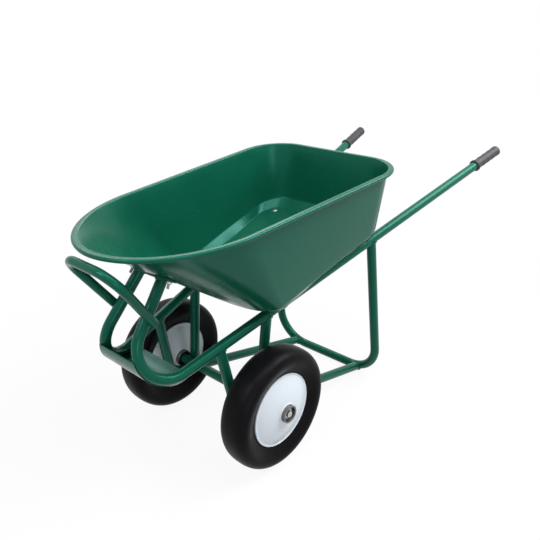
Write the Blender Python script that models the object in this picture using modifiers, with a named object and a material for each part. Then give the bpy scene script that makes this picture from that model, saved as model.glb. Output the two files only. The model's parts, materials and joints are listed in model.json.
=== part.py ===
"""Two-wheeled concrete wheelbarrow: a pressed steel tub on a welded frame of round tube.

Metres, +Z up, +X towards the nose, +Y to the left. The sizes below place everything from the
axle: x is measured forward of it and z up from the ground. The finished product is then moved
so that the middle of its bounding box stands on the world's origin.
"""

import math

import bmesh
import bpy
from mathutils import Matrix, Vector

# Frame tube and the gaps between pieces
TUBE_RADIUS = 0.0159
TUBE_WALL = 0.0025
GAP = 0.0003
SADDLE_DEPTH = 0.0015
TUBE_SIDES = 12
BEND_STEPS = 10

# Side rails: one tube each, from the grip straight to the nose, round it and up to the tub
HANDLE_END_X = -1.2226
HANDLE_END_HALF_SPREAD = 0.3154
HANDLE_END_HEIGHT = 0.7725
NOSE_CORNER_X = 0.4895
NOSE_CORNER_HALF_SPREAD = 0.0858
NOSE_CORNER_HEIGHT = 0.3016
NOSE_BEND_RADIUS = 0.0912
RISER_TOP_X = 0.2270
RISER_TOP_HALF_SPREAD = 0.0467

# Grips
GRIP_LENGTH = 0.152
GRIP_RADIUS = 0.0192
GRIP_LIP_RADIUS = 0.0222
GRIP_END_WALL = 0.006
GRIP_RIBS = 4
GRIP_RIB_DEPTH = 0.0009

# Tub
SHEET = 0.0020
FLOOR_REAR_X = -0.534
FLOOR_FRONT_X = -0.068
FLOOR_NOSE_LENGTH = 0.090
FLOOR_NOSE_POWER = 4.5
FLOOR_OVERHANG = 0.033
FLOOR_CORNER_RADIUS = 0.060
FLOOR_FILLET_REACH = 0.030
RIM_HEIGHT = 0.7753
RIM_FALL = 0.0849
RIM_REAR_X = -0.5863
RIM_REAR_HALF_WIDTH = 0.2951
RIM_SHOULDER_X = 0.0942
RIM_SHOULDER_HALF_WIDTH = 0.2689
RIM_NOSE_X = 0.4132
RIM_NOSE_POWER = 1.95
RIM_CORNER_RADIUS = 0.1356
BEAD_RADIUS = 0.0062
BEAD_TURN = math.radians(225)
LIP_REACH = 0.0120
LIP_BEND_RADIUS = 0.005

# Flat straps between the frame and the tub
STRAP_THICKNESS = 0.005
STRAP_WIDTH = 0.036
STRAP_OVERHANG = 0.012
REAR_STRAP_X = -0.4966
FRONT_STRAP_X = -0.140
NOSE_STRAP_HALF_LENGTH = 0.085

# Nose hoop
HOOP_TUBE_RADIUS = 0.0127
HOOP_TUBE_WALL = 0.0020
HOOP_BAR_X = 0.4240
HOOP_BAR_HALF_WIDTH = 0.1125
HOOP_BAR_HEIGHT = 0.7115
HOOP_BEND_RADIUS = 0.062
HOOP_FOOT_HEIGHT = 0.541
HOOP_LAP = 0.006

# Nose plate
PLATE_THICKNESS = 0.003
PLATE_REAR_X = 0.224
PLATE_EDGE = 0.0015
PLATE_BEND_STEPS = 7

# Wheels
TYRE_RADIUS = 0.191
TYRE_WIDTH = 0.0984
HALF_TRACK = 0.2353
RIM_FLANGE_RADIUS = 0.1160
RIM_FLANGE_HALF_WIDTH = 0.0350
BEAD_SEAT_RADIUS = 0.1016
RIM_SHEET = 0.0025
RIM_FLANGE_LIP = 0.006
RIM_SEAT_SET_BACK = 0.013
DISC_SHEET = 0.0025
DISC_SET_BACK = 0.0005
DISC_TO_HUB_END = 0.014
HUB_RADIUS = 0.0275
HUB_HALF_LENGTH = 0.0665
HUB_RECESS = 0.012
BEARING_RADIUS = 0.0222
BEARING_WIDTH = 0.014
HUB_SHOULDER = 0.0020
WHEEL_STEPS = 28
HUB_STEPS = 14

# Axle
AXLE_RADIUS = 0.0095
WASHER_THICKNESS = 0.0025
COTTER_RADIUS = 0.002
SPACER_WALL = 0.0042

# Struts, cradle and rear stand
CRADLE_TOP_X = 0.1197
CRADLE_CORNER_X = 0.0750
CRADLE_HALF_SPREAD = 0.1523
CRADLE_BEND_RADIUS = 0.060
CRADLE_FOOT_RISE = 0.003
CRADLE_FOOT_HALF_SPREAD = 0.149
REAR_STRUT_TOP_X = -0.0553
REAR_STRUT_FOOT_X = -0.0290
STAND_TOP_X = -0.5083
STAND_FOOT_X = -0.592
STAND_HALF_WIDTH = 0.229
STAND_BEND_RADIUS = 0.115

# Bolts that hold the tub down
BOLT_RADIUS = 0.004
BOLT_HEAD_RADIUS = 0.0105
BOLT_HEAD_HEIGHT = 0.0042
BOLT_INSET = 0.0267
NOSE_BOLT_INSET = 0.009
BOLT_SPARE = 0.003
NOSE_BOLT_SPARE = 0.014
NUT_ACROSS_FLATS = 0.013
NUT_HEIGHT = 0.0065
BOLT_SIDES = 12

AXLE_HEIGHT = TYRE_RADIUS
Y = Vector((0, 1, 0))
Z = Vector((0, 0, 1))
SIDES = {"left": 1, "right": -1}


def clear_scene():
    """Removes whatever the file opened with."""
    for item in list(bpy.data.objects):
        bpy.data.objects.remove(item, do_unlink=True)
    for group in list(bpy.data.collections):
        bpy.data.collections.remove(group)


def collection(name):
    group = bpy.data.collections.new(name)
    bpy.context.scene.collection.children.link(group)
    return group


def material(name, colour, roughness, metallic=0.0):
    """A Principled material of one colour."""
    made = bpy.data.materials.new(name)
    made.use_nodes = True
    shader = made.node_tree.nodes["Principled BSDF"]
    shader.inputs["Base Color"].default_value = (*colour, 1.0)
    shader.inputs["Roughness"].default_value = roughness
    shader.inputs["Metallic"].default_value = metallic
    return made


def mirrored(point, side):
    return Vector((point[0], point[1] * side, point[2]))


# Geometry helpers


def corner_arc(before, corner, after, radius, steps):
    """Points of the arc that rounds a corner between two straight runs."""
    to_before = (before - corner).normalized()
    to_after = (after - corner).normalized()
    half = to_before.angle(to_after) / 2
    reach = radius / math.tan(half)
    centre = corner + (to_before + to_after).normalized() * radius / math.sin(half)
    start = corner + to_before * reach - centre
    axis = start.cross(corner + to_after * reach - centre)
    turn = math.pi - 2 * half
    return [centre + Matrix.Rotation(turn * i / steps, 3, axis) @ start for i in range(steps + 1)]


def bent_path(corners, radius, steps):
    """A centre line through the corner points, with every inner corner rounded."""
    path = [corners[0]]
    for before, corner, after in zip(corners, corners[1:], corners[2:]):
        path += corner_arc(before, corner, after, radius, steps)
    path.append(corners[-1])
    return path


def rail_share(x):
    """How far along the rail, from the nose corner to the handle's end, the given x lies."""
    return (NOSE_CORNER_X - x) / (NOSE_CORNER_X - HANDLE_END_X)


def rail_point(x, side=1):
    """A point on a rail's centre line, on its straight run."""
    share = rail_share(x)
    spread = HANDLE_END_HALF_SPREAD - NOSE_CORNER_HALF_SPREAD
    rise = HANDLE_END_HEIGHT - NOSE_CORNER_HEIGHT
    return Vector(
        (x, side * (NOSE_CORNER_HALF_SPREAD + share * spread), NOSE_CORNER_HEIGHT + share * rise)
    )


DECK_SLOPE = math.atan2(HANDLE_END_HEIGHT - NOSE_CORNER_HEIGHT, NOSE_CORNER_X - HANDLE_END_X)
DECK_NORMAL = Vector((math.sin(DECK_SLOPE), 0, math.cos(DECK_SLOPE)))
STRAP_BOTTOM = TUBE_RADIUS + GAP
FLOOR_BOTTOM = STRAP_BOTTOM + STRAP_THICKNESS + GAP
FLOOR_TOP = FLOOR_BOTTOM + SHEET


def deck_point(x, y, lift):
    """A point at a height above the plane of the two rails, square to that plane."""
    foot = rail_point(x)
    return Vector((foot.x, y, foot.z)) + DECK_NORMAL * lift


def rim_centre(x, y):
    """A point on the middle of the tub's rolled bead."""
    return Vector((x, y, RIM_HEIGHT - RIM_FALL * x))


NOSE_FOOT = deck_point(FLOOR_FRONT_X, 0, FLOOR_TOP)
NOSE_RIM = rim_centre(RIM_NOSE_X, 0)
RAMP_DIRECTION = (NOSE_RIM - NOSE_FOOT).normalized()
RAMP_NORMAL = Vector((-RAMP_DIRECTION.z, 0, RAMP_DIRECTION.x))


def ramp_point(x, y, lift):
    """A point at a height above the tub's sloping front, square to it, and below it if negative."""
    share = (x - NOSE_FOOT.x) / (NOSE_RIM.x - NOSE_FOOT.x)
    foot = NOSE_FOOT.lerp(NOSE_RIM, share)
    return Vector((foot.x, y, foot.z)) + RAMP_NORMAL * lift


# Object helpers


def add_object(name, mesh, group, finish=None, parent=None, matrix=None):
    made = bpy.data.objects.new(name, mesh)
    group.objects.link(made)
    if finish:
        mesh.materials.clear()
        mesh.materials.append(finish)
    if parent:
        made.parent = parent
    if matrix:
        made.matrix_local = matrix
    return made


def add_empty(name, group, location=(0, 0, 0), parent=None):
    made = bpy.data.objects.new(name, None)
    group.objects.link(made)
    made.location = location
    made.parent = parent
    return made


def mesh_of(source, name):
    """The evaluated mesh of an object, with loose caps welded on."""
    graph = bpy.context.evaluated_depsgraph_get()
    mesh = bpy.data.meshes.new_from_object(source.evaluated_get(graph), depsgraph=graph)
    mesh.name = name
    shape = bmesh.new()
    shape.from_mesh(mesh)
    bmesh.ops.remove_doubles(shape, verts=shape.verts, dist=1e-6)
    bmesh.ops.recalc_face_normals(shape, faces=shape.faces)
    shape.to_mesh(mesh)
    shape.free()
    return mesh


def swept_mesh(name, path, radius, sides, capped):
    """A round bar or an open round skin along a path, as a mesh."""
    curve = bpy.data.curves.new(name, "CURVE")
    curve.dimensions = "3D"
    curve.bevel_depth = radius
    curve.bevel_resolution = sides // 2 - 2
    curve.use_fill_caps = capped
    spline = curve.splines.new("POLY")
    spline.points.add(len(path) - 1)
    for point, place in zip(spline.points, path):
        point.co = (*place, 1)
    holder = bpy.data.objects.new(name, curve)
    bpy.context.scene.collection.objects.link(holder)
    mesh = mesh_of(holder, name)
    bpy.data.objects.remove(holder)
    bpy.data.curves.remove(curve)
    return mesh


def smooth(mesh):
    mesh.shade_smooth()
    mesh.set_sharp_from_angle(angle=math.radians(40))


class Workshop:
    """The collections, the finishes and the root that every piece is made with."""

    def __init__(self):
        self.parts = collection("concrete_wheelbarrow")
        self.cutters = collection("cutters")
        self.root = add_empty("wheelbarrow", self.parts)
        self.green = material("green_gloss_paint", (0.006, 0.115, 0.066), 0.28)
        self.white = material("white_gloss_paint", (0.75, 0.82, 0.88), 0.32)
        self.rubber = material("black_tyre_rubber", (0.012, 0.012, 0.013), 0.55)
        self.grip = material("dark_grip_rubber", (0.035, 0.035, 0.040), 0.62)
        self.zinc = material("zinc_plated_steel", (0.55, 0.56, 0.55), 0.35, 1.0)
        self.steel = material("bare_steel", (0.40, 0.39, 0.37), 0.42, 1.0)

    def tube(self, name, path, radius=TUBE_RADIUS, wall=TUBE_WALL, finish=None, parent=None):
        """A hollow round tube along a path, open at both ends."""
        mesh = swept_mesh(name, path, radius, TUBE_SIDES, capped=False)
        made = add_object(name, mesh, self.parts, finish or self.green, parent or self.root)
        skin = made.modifiers.new("wall", "SOLIDIFY")
        skin.thickness = wall
        skin.offset = -1
        skin.use_even_offset = True
        smooth(mesh)
        return made

    def cutter(self, name, mesh, matrix=None):
        made = add_object(name, mesh, self.cutters, parent=self.root, matrix=matrix)
        made.hide_render = True
        made.display_type = "WIRE"
        return made

    def cut(self, piece, tool):
        """Takes the tool's shape out of the piece."""
        step = piece.modifiers.new(tool.name, "BOOLEAN")
        step.operation = "DIFFERENCE"
        step.solver = "EXACT"
        step.object = tool

    def cope(self, piece, name, path, radius=TUBE_RADIUS):
        """Cuts the piece where another tube passes, with the usual gap all round."""
        mesh = swept_mesh(name, path, radius + GAP, TUBE_SIDES, capped=True)
        self.cut(piece, self.cutter(name, mesh))

    def turned(self, name, profile, steps, finish, parent, matrix=None, closed=True, wall=0.0):
        """Turns a profile of (radius, height) points about the local Z axis."""
        mesh = bpy.data.meshes.new(name)
        edges = [(i, i + 1) for i in range(len(profile) - 1)]
        if closed and profile[0][0] > 0:
            edges.append((len(profile) - 1, 0))
        mesh.from_pydata([(radius, 0, height) for radius, height in profile], edges, [])
        made = add_object(name, mesh, self.parts, finish, parent, matrix)
        turn = made.modifiers.new("turn", "SCREW")
        turn.steps = turn.render_steps = steps
        turn.use_merge_vertices = True
        turn.merge_threshold = 1e-5
        turn.use_smooth_shade = True
        if wall:
            skin = made.modifiers.new("wall", "SOLIDIFY")
            skin.thickness = wall
            skin.offset = -1
            skin.use_even_offset = True
        return made

    def block(self, name, size, matrix, finish, corner=0.0):
        """A flat bar or plate of the given size, with rounded corners seen from above."""
        shape = bmesh.new()
        bmesh.ops.create_cube(shape, size=1)
        bmesh.ops.scale(shape, verts=shape.verts, vec=size)
        upright = [edge for edge in shape.edges if abs(edge.verts[0].co.z - edge.verts[1].co.z) > size[2] / 2]
        if corner:
            bmesh.ops.bevel(shape, geom=upright, offset=corner, segments=2, profile=0.5, affect="EDGES")
        mesh = bpy.data.meshes.new(name)
        shape.to_mesh(mesh)
        shape.free()
        return add_object(name, mesh, self.parts, finish, self.root, matrix)


def axes_matrix(origin, along_x, normal):
    """A placement whose local X and Z run along the given directions."""
    up = normal.normalized()
    x = (along_x - up * along_x.dot(up)).normalized()
    y = up.cross(x)
    turn = Matrix((x, y, up)).transposed().to_4x4()
    return Matrix.Translation(origin) @ turn


def rod_mesh(name, radius, start, end, sides):
    return swept_mesh(name, [start, end], radius, sides, capped=True)


# Rails, nose and stand


def rail_corners(side):
    top = ramp_point(RISER_TOP_X, side * RISER_TOP_HALF_SPREAD, -(SHEET + STRAP_THICKNESS + 2 * GAP))
    nose = Vector((NOSE_CORNER_X, side * NOSE_CORNER_HALF_SPREAD, NOSE_CORNER_HEIGHT))
    return [rail_point(HANDLE_END_X, side), nose, top]


def rail_path(side, beyond=0.0):
    """The rail's centre line, with the riser run on past the nose strap by the given length."""
    handle, nose, top = rail_corners(side)
    return bent_path([handle, nose, top + (top - nose).normalized() * beyond], NOSE_BEND_RADIUS, BEND_STEPS)


def riser_point(height, side):
    """A point on a riser's centre line at the given height."""
    _, nose, top = rail_corners(side)
    return nose.lerp(top, (height - nose.z) / (top.z - nose.z))


def build_rails(shop):
    """Each rail and its riser are one bent tube, cut off along the underside of the nose strap."""
    below = -(SHEET + STRAP_THICKNESS + 3 * GAP)
    depth = 3 * TUBE_RADIUS
    middle = ramp_point(RISER_TOP_X, 0, below + depth / 2)
    placing = axes_matrix(middle, RAMP_DIRECTION, RAMP_NORMAL)
    shape = bmesh.new()
    bmesh.ops.create_cube(shape, size=1)
    bmesh.ops.scale(shape, verts=shape.verts, vec=(8 * TUBE_RADIUS, 4 * NOSE_STRAP_HALF_LENGTH, depth))
    mesh = bpy.data.meshes.new("riser_cut")
    shape.to_mesh(mesh)
    shape.free()
    plane = shop.cutter("riser_cut", mesh, placing)
    rails = {}
    for word, side in SIDES.items():
        rail = shop.tube(f"{word}_rail", rail_path(side, beyond=TUBE_RADIUS))
        shop.cut(rail, plane)
        rails[word] = rail
    return rails


def build_grips(shop):
    """A ribbed rubber sleeve on each handle, with a rounded closed end and a thick lip."""
    bore = TUBE_RADIUS + GAP
    for word, side in SIDES.items():
        end = rail_point(HANDLE_END_X, side)
        out = (end - rail_point(NOSE_CORNER_X, side)).normalized()
        round_end = [
            (GRIP_RADIUS * math.sin(turn), GRIP_END_WALL * math.cos(turn))
            for turn in (math.radians(step) for step in (0, 40, 90))
        ]
        pitch = (GRIP_LENGTH - 0.030) / GRIP_RIBS
        ribs = []
        for rib in range(GRIP_RIBS):
            start = -0.012 - rib * pitch
            ribs += [
                (GRIP_RADIUS, start),
                (GRIP_RADIUS - GRIP_RIB_DEPTH, start - 0.25 * pitch),
                (GRIP_RADIUS - GRIP_RIB_DEPTH, start - 0.75 * pitch),
            ]
        foot = GRIP_END_WALL - GRIP_LENGTH
        lip = [
            (GRIP_RADIUS, foot + 0.012),
            (GRIP_LIP_RADIUS, foot + 0.006),
            (GRIP_LIP_RADIUS, foot + 0.001),
            (GRIP_LIP_RADIUS - 0.001, foot),
            (bore, foot),
        ]
        profile = round_end + ribs + lip + [(bore, GAP), (0, GAP)]
        placing = axes_matrix(end, Z, out)
        shop.turned(f"{word}_grip", profile, 12, shop.grip, shop.root, placing)


def build_hoop(shop):
    """The bent tube in front of the tub, lapped on to the outside of both risers."""
    corners = {}
    for word, side in SIDES.items():
        crossing = riser_point(HOOP_FOOT_HEIGHT, side)
        crossing += side * Y * (TUBE_RADIUS + HOOP_TUBE_RADIUS - SADDLE_DEPTH)
        bend = Vector((HOOP_BAR_X, side * HOOP_BAR_HALF_WIDTH, HOOP_BAR_HEIGHT))
        foot = crossing + (crossing - bend).normalized() * HOOP_LAP
        corners[word] = (foot, bend)
    (left_foot, left_bend), (right_foot, right_bend) = corners["left"], corners["right"]
    path = bent_path([left_foot, left_bend, right_bend, right_foot], HOOP_BEND_RADIUS, 5)
    hoop = shop.tube("nose_hoop", path, HOOP_TUBE_RADIUS, HOOP_TUBE_WALL)
    for word, side in SIDES.items():
        shop.cope(hoop, f"hoop_on_{word}_riser", rail_path(side))
    return hoop


def build_nose_plate(shop):
    """The sheet that wraps under both nose bends and ties them together."""
    line = [rail_point(PLATE_REAR_X)] + rail_path(1)[1 : PLATE_BEND_STEPS + 2]
    rows = []
    for i, place in enumerate(line):
        along = line[min(i + 1, len(line) - 1)] - line[max(i - 1, 0)]
        outward = Y.cross(along).normalized()
        rows.append((place + outward * (TUBE_RADIUS + GAP), place.y + PLATE_EDGE))
    shape = bmesh.new()
    pairs = [[shape.verts.new((place.x, side * half, place.z)) for side in (-1, 1)] for place, half in rows]
    for (right, left), (next_right, next_left) in zip(pairs, pairs[1:]):
        shape.faces.new((right, left, next_left, next_right))
    mesh = bpy.data.meshes.new("nose_plate")
    shape.to_mesh(mesh)
    shape.free()
    smooth(mesh)
    plate = add_object("nose_plate", mesh, shop.parts, shop.green, shop.root)
    skin = plate.modifiers.new("wall", "SOLIDIFY")
    skin.thickness = PLATE_THICKNESS
    skin.offset = 1
    skin.use_even_offset = True
    return plate


def stand_corners():
    left_top = rail_point(STAND_TOP_X, 1)
    left_foot = Vector((STAND_FOOT_X, STAND_HALF_WIDTH, TUBE_RADIUS))
    return [left_top, left_foot, mirrored(left_foot, -1), mirrored(left_top, -1)]


def stand_path():
    return bent_path(stand_corners(), STAND_BEND_RADIUS, 5)


def build_stand(shop):
    """One tube bent into a U, standing on the ground and welded under both rails."""
    stand = shop.tube("rear_stand", stand_path())
    for word, side in SIDES.items():
        shop.cope(stand, f"stand_on_{word}_rail", rail_path(side))
    return stand


# Axle cradle and struts


def cradle_corners(side):
    """The cradle passes just under the axle tube, so its corner's height follows from the axle."""
    foot = Vector((STAND_FOOT_X, side * CRADLE_FOOT_HALF_SPREAD, TUBE_RADIUS + CRADLE_FOOT_RISE))
    drop = 2 * TUBE_RADIUS - SADDLE_DEPTH
    fall = math.asin(drop / math.hypot(foot.x, AXLE_HEIGHT - foot.z))
    slope = math.tan(math.atan2(AXLE_HEIGHT - foot.z, -foot.x) - fall)
    height = foot.z + (CRADLE_CORNER_X - foot.x) * slope
    corner = Vector((CRADLE_CORNER_X, side * CRADLE_HALF_SPREAD, height))
    return [rail_point(CRADLE_TOP_X, side), corner, foot]


def cradle_path(side):
    return bent_path(cradle_corners(side), CRADLE_BEND_RADIUS, 6)


def axle_tube_path():
    half = CRADLE_HALF_SPREAD + TUBE_RADIUS
    return [Vector((0, -half, AXLE_HEIGHT)), Vector((0, half, AXLE_HEIGHT))]


def build_cradles(shop):
    """On each side a bent tube drops from the rail, passes under the axle and runs back to the stand."""
    for word, side in SIDES.items():
        cradle = shop.tube(f"{word}_cradle", cradle_path(side))
        shop.cope(cradle, f"{word}_cradle_on_rail", rail_path(side))
        shop.cope(cradle, f"{word}_cradle_on_stand", stand_path())
        shop.cope(cradle, f"{word}_cradle_under_axle", axle_tube_path())


def build_rear_struts(shop):
    """The upright tube behind the axle, from the rail down to the cradle."""
    for word, side in SIDES.items():
        _, corner, foot = cradle_corners(side)
        share = (REAR_STRUT_FOOT_X - corner.x) / (foot.x - corner.x)
        path = [rail_point(REAR_STRUT_TOP_X, side), corner.lerp(foot, share)]
        strut = shop.tube(f"{word}_rear_strut", path)
        shop.cope(strut, f"{word}_strut_on_rail", rail_path(side))
        shop.cope(strut, f"{word}_strut_on_cradle", cradle_path(side))
        shop.cope(strut, f"{word}_strut_on_axle", axle_tube_path())


def build_axle(shop):
    """The fixed axle: a rod through a tube that lies on both cradles, with its collars and pins."""
    half_tube = CRADLE_HALF_SPREAD + TUBE_RADIUS
    across_flats = TUBE_RADIUS * math.cos(math.pi / TUBE_SIDES)
    shop.tube("axle_tube", axle_tube_path(), TUBE_RADIUS, across_flats - AXLE_RADIUS - GAP)
    rod_end = HALF_TRACK + HUB_HALF_LENGTH - 0.001
    ends = [Vector((0, side * rod_end, AXLE_HEIGHT)) for side in (-1, 1)]
    mesh = rod_mesh("axle_rod", AXLE_RADIUS, *ends, 16)
    rod = add_object("axle_rod", mesh, shop.parts, shop.zinc, shop.root)
    smooth(rod.data)
    bore = AXLE_RADIUS + GAP
    bearing_out = HALF_TRACK + HUB_HALF_LENGTH - HUB_RECESS
    bearing_in = HALF_TRACK - HUB_HALF_LENGTH + HUB_RECESS
    for word, side in SIDES.items():
        placing = axes_matrix(Vector((0, 0, AXLE_HEIGHT)), Z, side * Y)
        spacer = ring(bore, bore + SPACER_WALL, half_tube + GAP, bearing_in - GAP)
        shop.turned(f"{word}_axle_spacer", spacer, 16, shop.zinc, shop.root, placing)
        start = bearing_out + GAP
        washer = ring(bore, BEARING_RADIUS - 0.004, start, start + WASHER_THICKNESS)
        shop.turned(f"{word}_axle_washer", washer, 16, shop.zinc, shop.root, placing)
        pin_y = start + WASHER_THICKNESS + GAP + COTTER_RADIUS
        reach = AXLE_RADIUS + 0.006
        pin = [Vector((0, side * pin_y, AXLE_HEIGHT + up)) for up in (-reach, reach)]
        mesh = rod_mesh(f"{word}_cotter_pin", COTTER_RADIUS, *pin, 8)
        add_object(f"{word}_cotter_pin", mesh, shop.parts, shop.steel, shop.root)
        bore_ends = [place + (place - pin[1 - i]).normalized() * 0.01 for i, place in enumerate(pin)]
        hole = rod_mesh(f"{word}_cotter_hole", COTTER_RADIUS + GAP, *bore_ends, 8)
        shop.cut(rod, shop.cutter(f"{word}_cotter_hole", hole))


# Wheels


def ring(inner, outer, low, high):
    """The section of a plain ring, its outer side first and running down."""
    return [(outer, high), (outer, low), (inner, low), (inner, high)]


def both_ways(half):
    """A section that is the same either side of the wheel's middle plane, from its outer side in."""
    return half + [(radius, -height) for radius, height in reversed(half)]


def tyre_profile():
    """A solid tyre: crown, shoulders, sidewalls and the foot that fills the rim's well."""
    half = TYRE_WIDTH / 2
    lip = RIM_FLANGE_RADIUS + 3 * GAP
    side = TYRE_RADIUS - lip
    root = RIM_FLANGE_HALF_WIDTH - RIM_FLANGE_LIP
    outside = [
        (BEAD_SEAT_RADIUS + GAP, RIM_FLANGE_HALF_WIDTH - RIM_SEAT_SET_BACK - 2 * GAP),
        (lip, root),
        (lip + 0.26 * side, root + 0.46 * (half - root)),
        (lip + 0.58 * side, half),
        (lip + 0.84 * side, 0.86 * half),
        (lip + 0.97 * side, 0.50 * half),
    ]
    return outside + [(TYRE_RADIUS, 0)] + [(radius, -height) for radius, height in reversed(outside)]


def rim_profile():
    """The rolled steel rim between its two flanges, as the tyre's side of a sheet."""
    return both_ways(
        [
            (RIM_FLANGE_RADIUS, RIM_FLANGE_HALF_WIDTH),
            (RIM_FLANGE_RADIUS - 0.001, RIM_FLANGE_HALF_WIDTH - RIM_FLANGE_LIP),
            (BEAD_SEAT_RADIUS, RIM_FLANGE_HALF_WIDTH - RIM_SEAT_SET_BACK),
        ]
    )


def disc_profile():
    """A domed pressed disc from the rim's flange up to the hub, as the outer face of a sheet."""
    edge = RIM_FLANGE_RADIUS - RIM_SHEET - 2 * GAP
    neck = HUB_RADIUS + 2 * GAP
    low = RIM_FLANGE_HALF_WIDTH - DISC_SET_BACK
    top = HUB_HALF_LENGTH - DISC_TO_HUB_END
    rise = top - low
    return [
        (neck, top),
        (neck + 0.14 * (edge - neck), low + 0.93 * rise),
        (neck + 0.45 * (edge - neck), low + 0.66 * rise),
        (neck + 0.75 * (edge - neck), low + 0.32 * rise),
        (edge, low),
    ]


def hub_profile():
    """The hub tube, with a shoulder inside each end for its bearing."""
    seat = BEARING_RADIUS + GAP
    shoulder = HUB_HALF_LENGTH - HUB_RECESS - BEARING_WIDTH - GAP
    inner = [(seat, HUB_HALF_LENGTH), (seat, shoulder), (seat - HUB_SHOULDER, shoulder)]
    bore = inner + [(radius, -height) for radius, height in reversed(inner)]
    return [(HUB_RADIUS, HUB_HALF_LENGTH), (HUB_RADIUS, -HUB_HALF_LENGTH)] + list(reversed(bore))


def bearing_profile(high):
    """A shielded ball bearing: two races that stand proud of the outer shield between them."""
    bore = AXLE_RADIUS + GAP
    low = high - BEARING_WIDTH
    step = 0.001
    inner_race = bore + 0.003
    outer_race = BEARING_RADIUS - 0.003
    return [
        (BEARING_RADIUS, high),
        (BEARING_RADIUS, low),
        (bore, low),
        (bore, high),
        (inner_race, high),
        (inner_race, high - step),
        (outer_race, high - step),
        (outer_race, high),
    ]


def build_wheel(shop, word, side):
    """Everything that turns on one end of the axle, under an empty on the axle's line."""
    spin = add_empty(f"{word}_wheel_spin", shop.parts, parent=shop.root)
    spin.matrix_local = axes_matrix(Vector((0, side * HALF_TRACK, AXLE_HEIGHT)), Z, side * Y)
    flip = Matrix.Rotation(math.pi, 4, "X")
    shop.turned(f"{word}_tyre", tyre_profile(), WHEEL_STEPS, shop.rubber, spin)
    shop.turned(f"{word}_rim", rim_profile(), WHEEL_STEPS, shop.white, spin, closed=False, wall=RIM_SHEET)
    for place, turn in (("outer", Matrix()), ("inner", flip)):
        name = f"{word}_{place}_disc"
        shop.turned(name, disc_profile(), WHEEL_STEPS, shop.white, spin, turn, closed=False, wall=DISC_SHEET)
        bearing = bearing_profile(HUB_HALF_LENGTH - HUB_RECESS)
        shop.turned(f"{word}_{place}_bearing", bearing, HUB_STEPS, shop.steel, spin, turn)
    shop.turned(f"{word}_hub", hub_profile(), HUB_STEPS, shop.zinc, spin)


# Tub


def nose_curve(shoulder_x, shoulder_half, nose_x, power, steps):
    """A rounded nose in plan, from the shoulder on the left to the middle of the front."""
    points = []
    for step in range(steps + 1):
        turn = math.pi / 2 * step / steps
        reach = math.sin(turn) ** (2 / power)
        half = max(math.cos(turn), 0.0) ** (2 / power)
        points.append((shoulder_x + (nose_x - shoulder_x) * reach, shoulder_half * half))
    points[-1] = (nose_x, 0.0)
    return points


def half_outline(rear_x, rear_half, corner, shoulder_x, shoulder_half, nose_x, power):
    """Half of the tub's outline in plan, from the middle of the rear to the middle of the nose."""
    start = Vector((rear_x, 0, 0))
    sharp = Vector((rear_x, rear_half, 0))
    shoulder = Vector((shoulder_x, shoulder_half, 0))
    arc = corner_arc(start, sharp, shoulder, corner, 5)
    first = [start.lerp(arc[0], share / 2) for share in range(2)]
    side = [arc[-1].lerp(shoulder, share / 4) for share in range(1, 4)]
    nose = nose_curve(shoulder_x, shoulder_half, nose_x, power, 11)
    return [(point.x, point.y) for point in first + arc + side] + nose


def full_outline(half):
    return half + [(x, -y) for x, y in reversed(half[1:-1])]


def floor_half_width(x):
    return rail_point(x).y + FLOOR_OVERHANG


def tub_columns():
    """For each place round the tub, the points of its inner face from the floor up and over the bead."""
    shoulder_x = FLOOR_FRONT_X - FLOOR_NOSE_LENGTH
    floor = full_outline(
        half_outline(
            FLOOR_REAR_X,
            floor_half_width(FLOOR_REAR_X),
            FLOOR_CORNER_RADIUS,
            shoulder_x,
            floor_half_width(shoulder_x),
            FLOOR_FRONT_X,
            FLOOR_NOSE_POWER,
        )
    )
    rim = full_outline(
        half_outline(
            RIM_REAR_X,
            RIM_REAR_HALF_WIDTH,
            RIM_CORNER_RADIUS,
            RIM_SHOULDER_X,
            RIM_SHOULDER_HALF_WIDTH,
            RIM_NOSE_X,
            RIM_NOSE_POWER,
        )
    )
    columns = []
    for i, (foot_at, rim_at) in enumerate(zip(floor, rim)):
        before, after = Vector(rim[i - 1]), Vector(rim[(i + 1) % len(rim)])
        along = (after - before).normalized()
        outward = Vector((-along.y, along.x, 0)) if i else Vector((-1, 0, 0))
        foot = deck_point(*foot_at, FLOOR_TOP)
        bead = rim_centre(*rim_at)
        lip = bead + BEAD_RADIUS * Z
        shoulder = lip - LIP_REACH * outward
        wall = (shoulder - foot).normalized()
        inward = (DECK_NORMAL * wall.dot(DECK_NORMAL) - wall).normalized()
        radius = FLOOR_FILLET_REACH * math.tan(wall.angle(inward) / 2)
        fillet = corner_arc(foot + inward, foot, shoulder, radius, 3)
        bend = corner_arc(foot, shoulder, lip, LIP_BEND_RADIUS, 2)
        curl = [
            bead + BEAD_RADIUS * (math.cos(turn) * Z + math.sin(turn) * outward)
            for turn in (BEAD_TURN * step / 5 for step in range(6))
        ]
        columns.append(fillet + bend + curl)
    return columns


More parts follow.
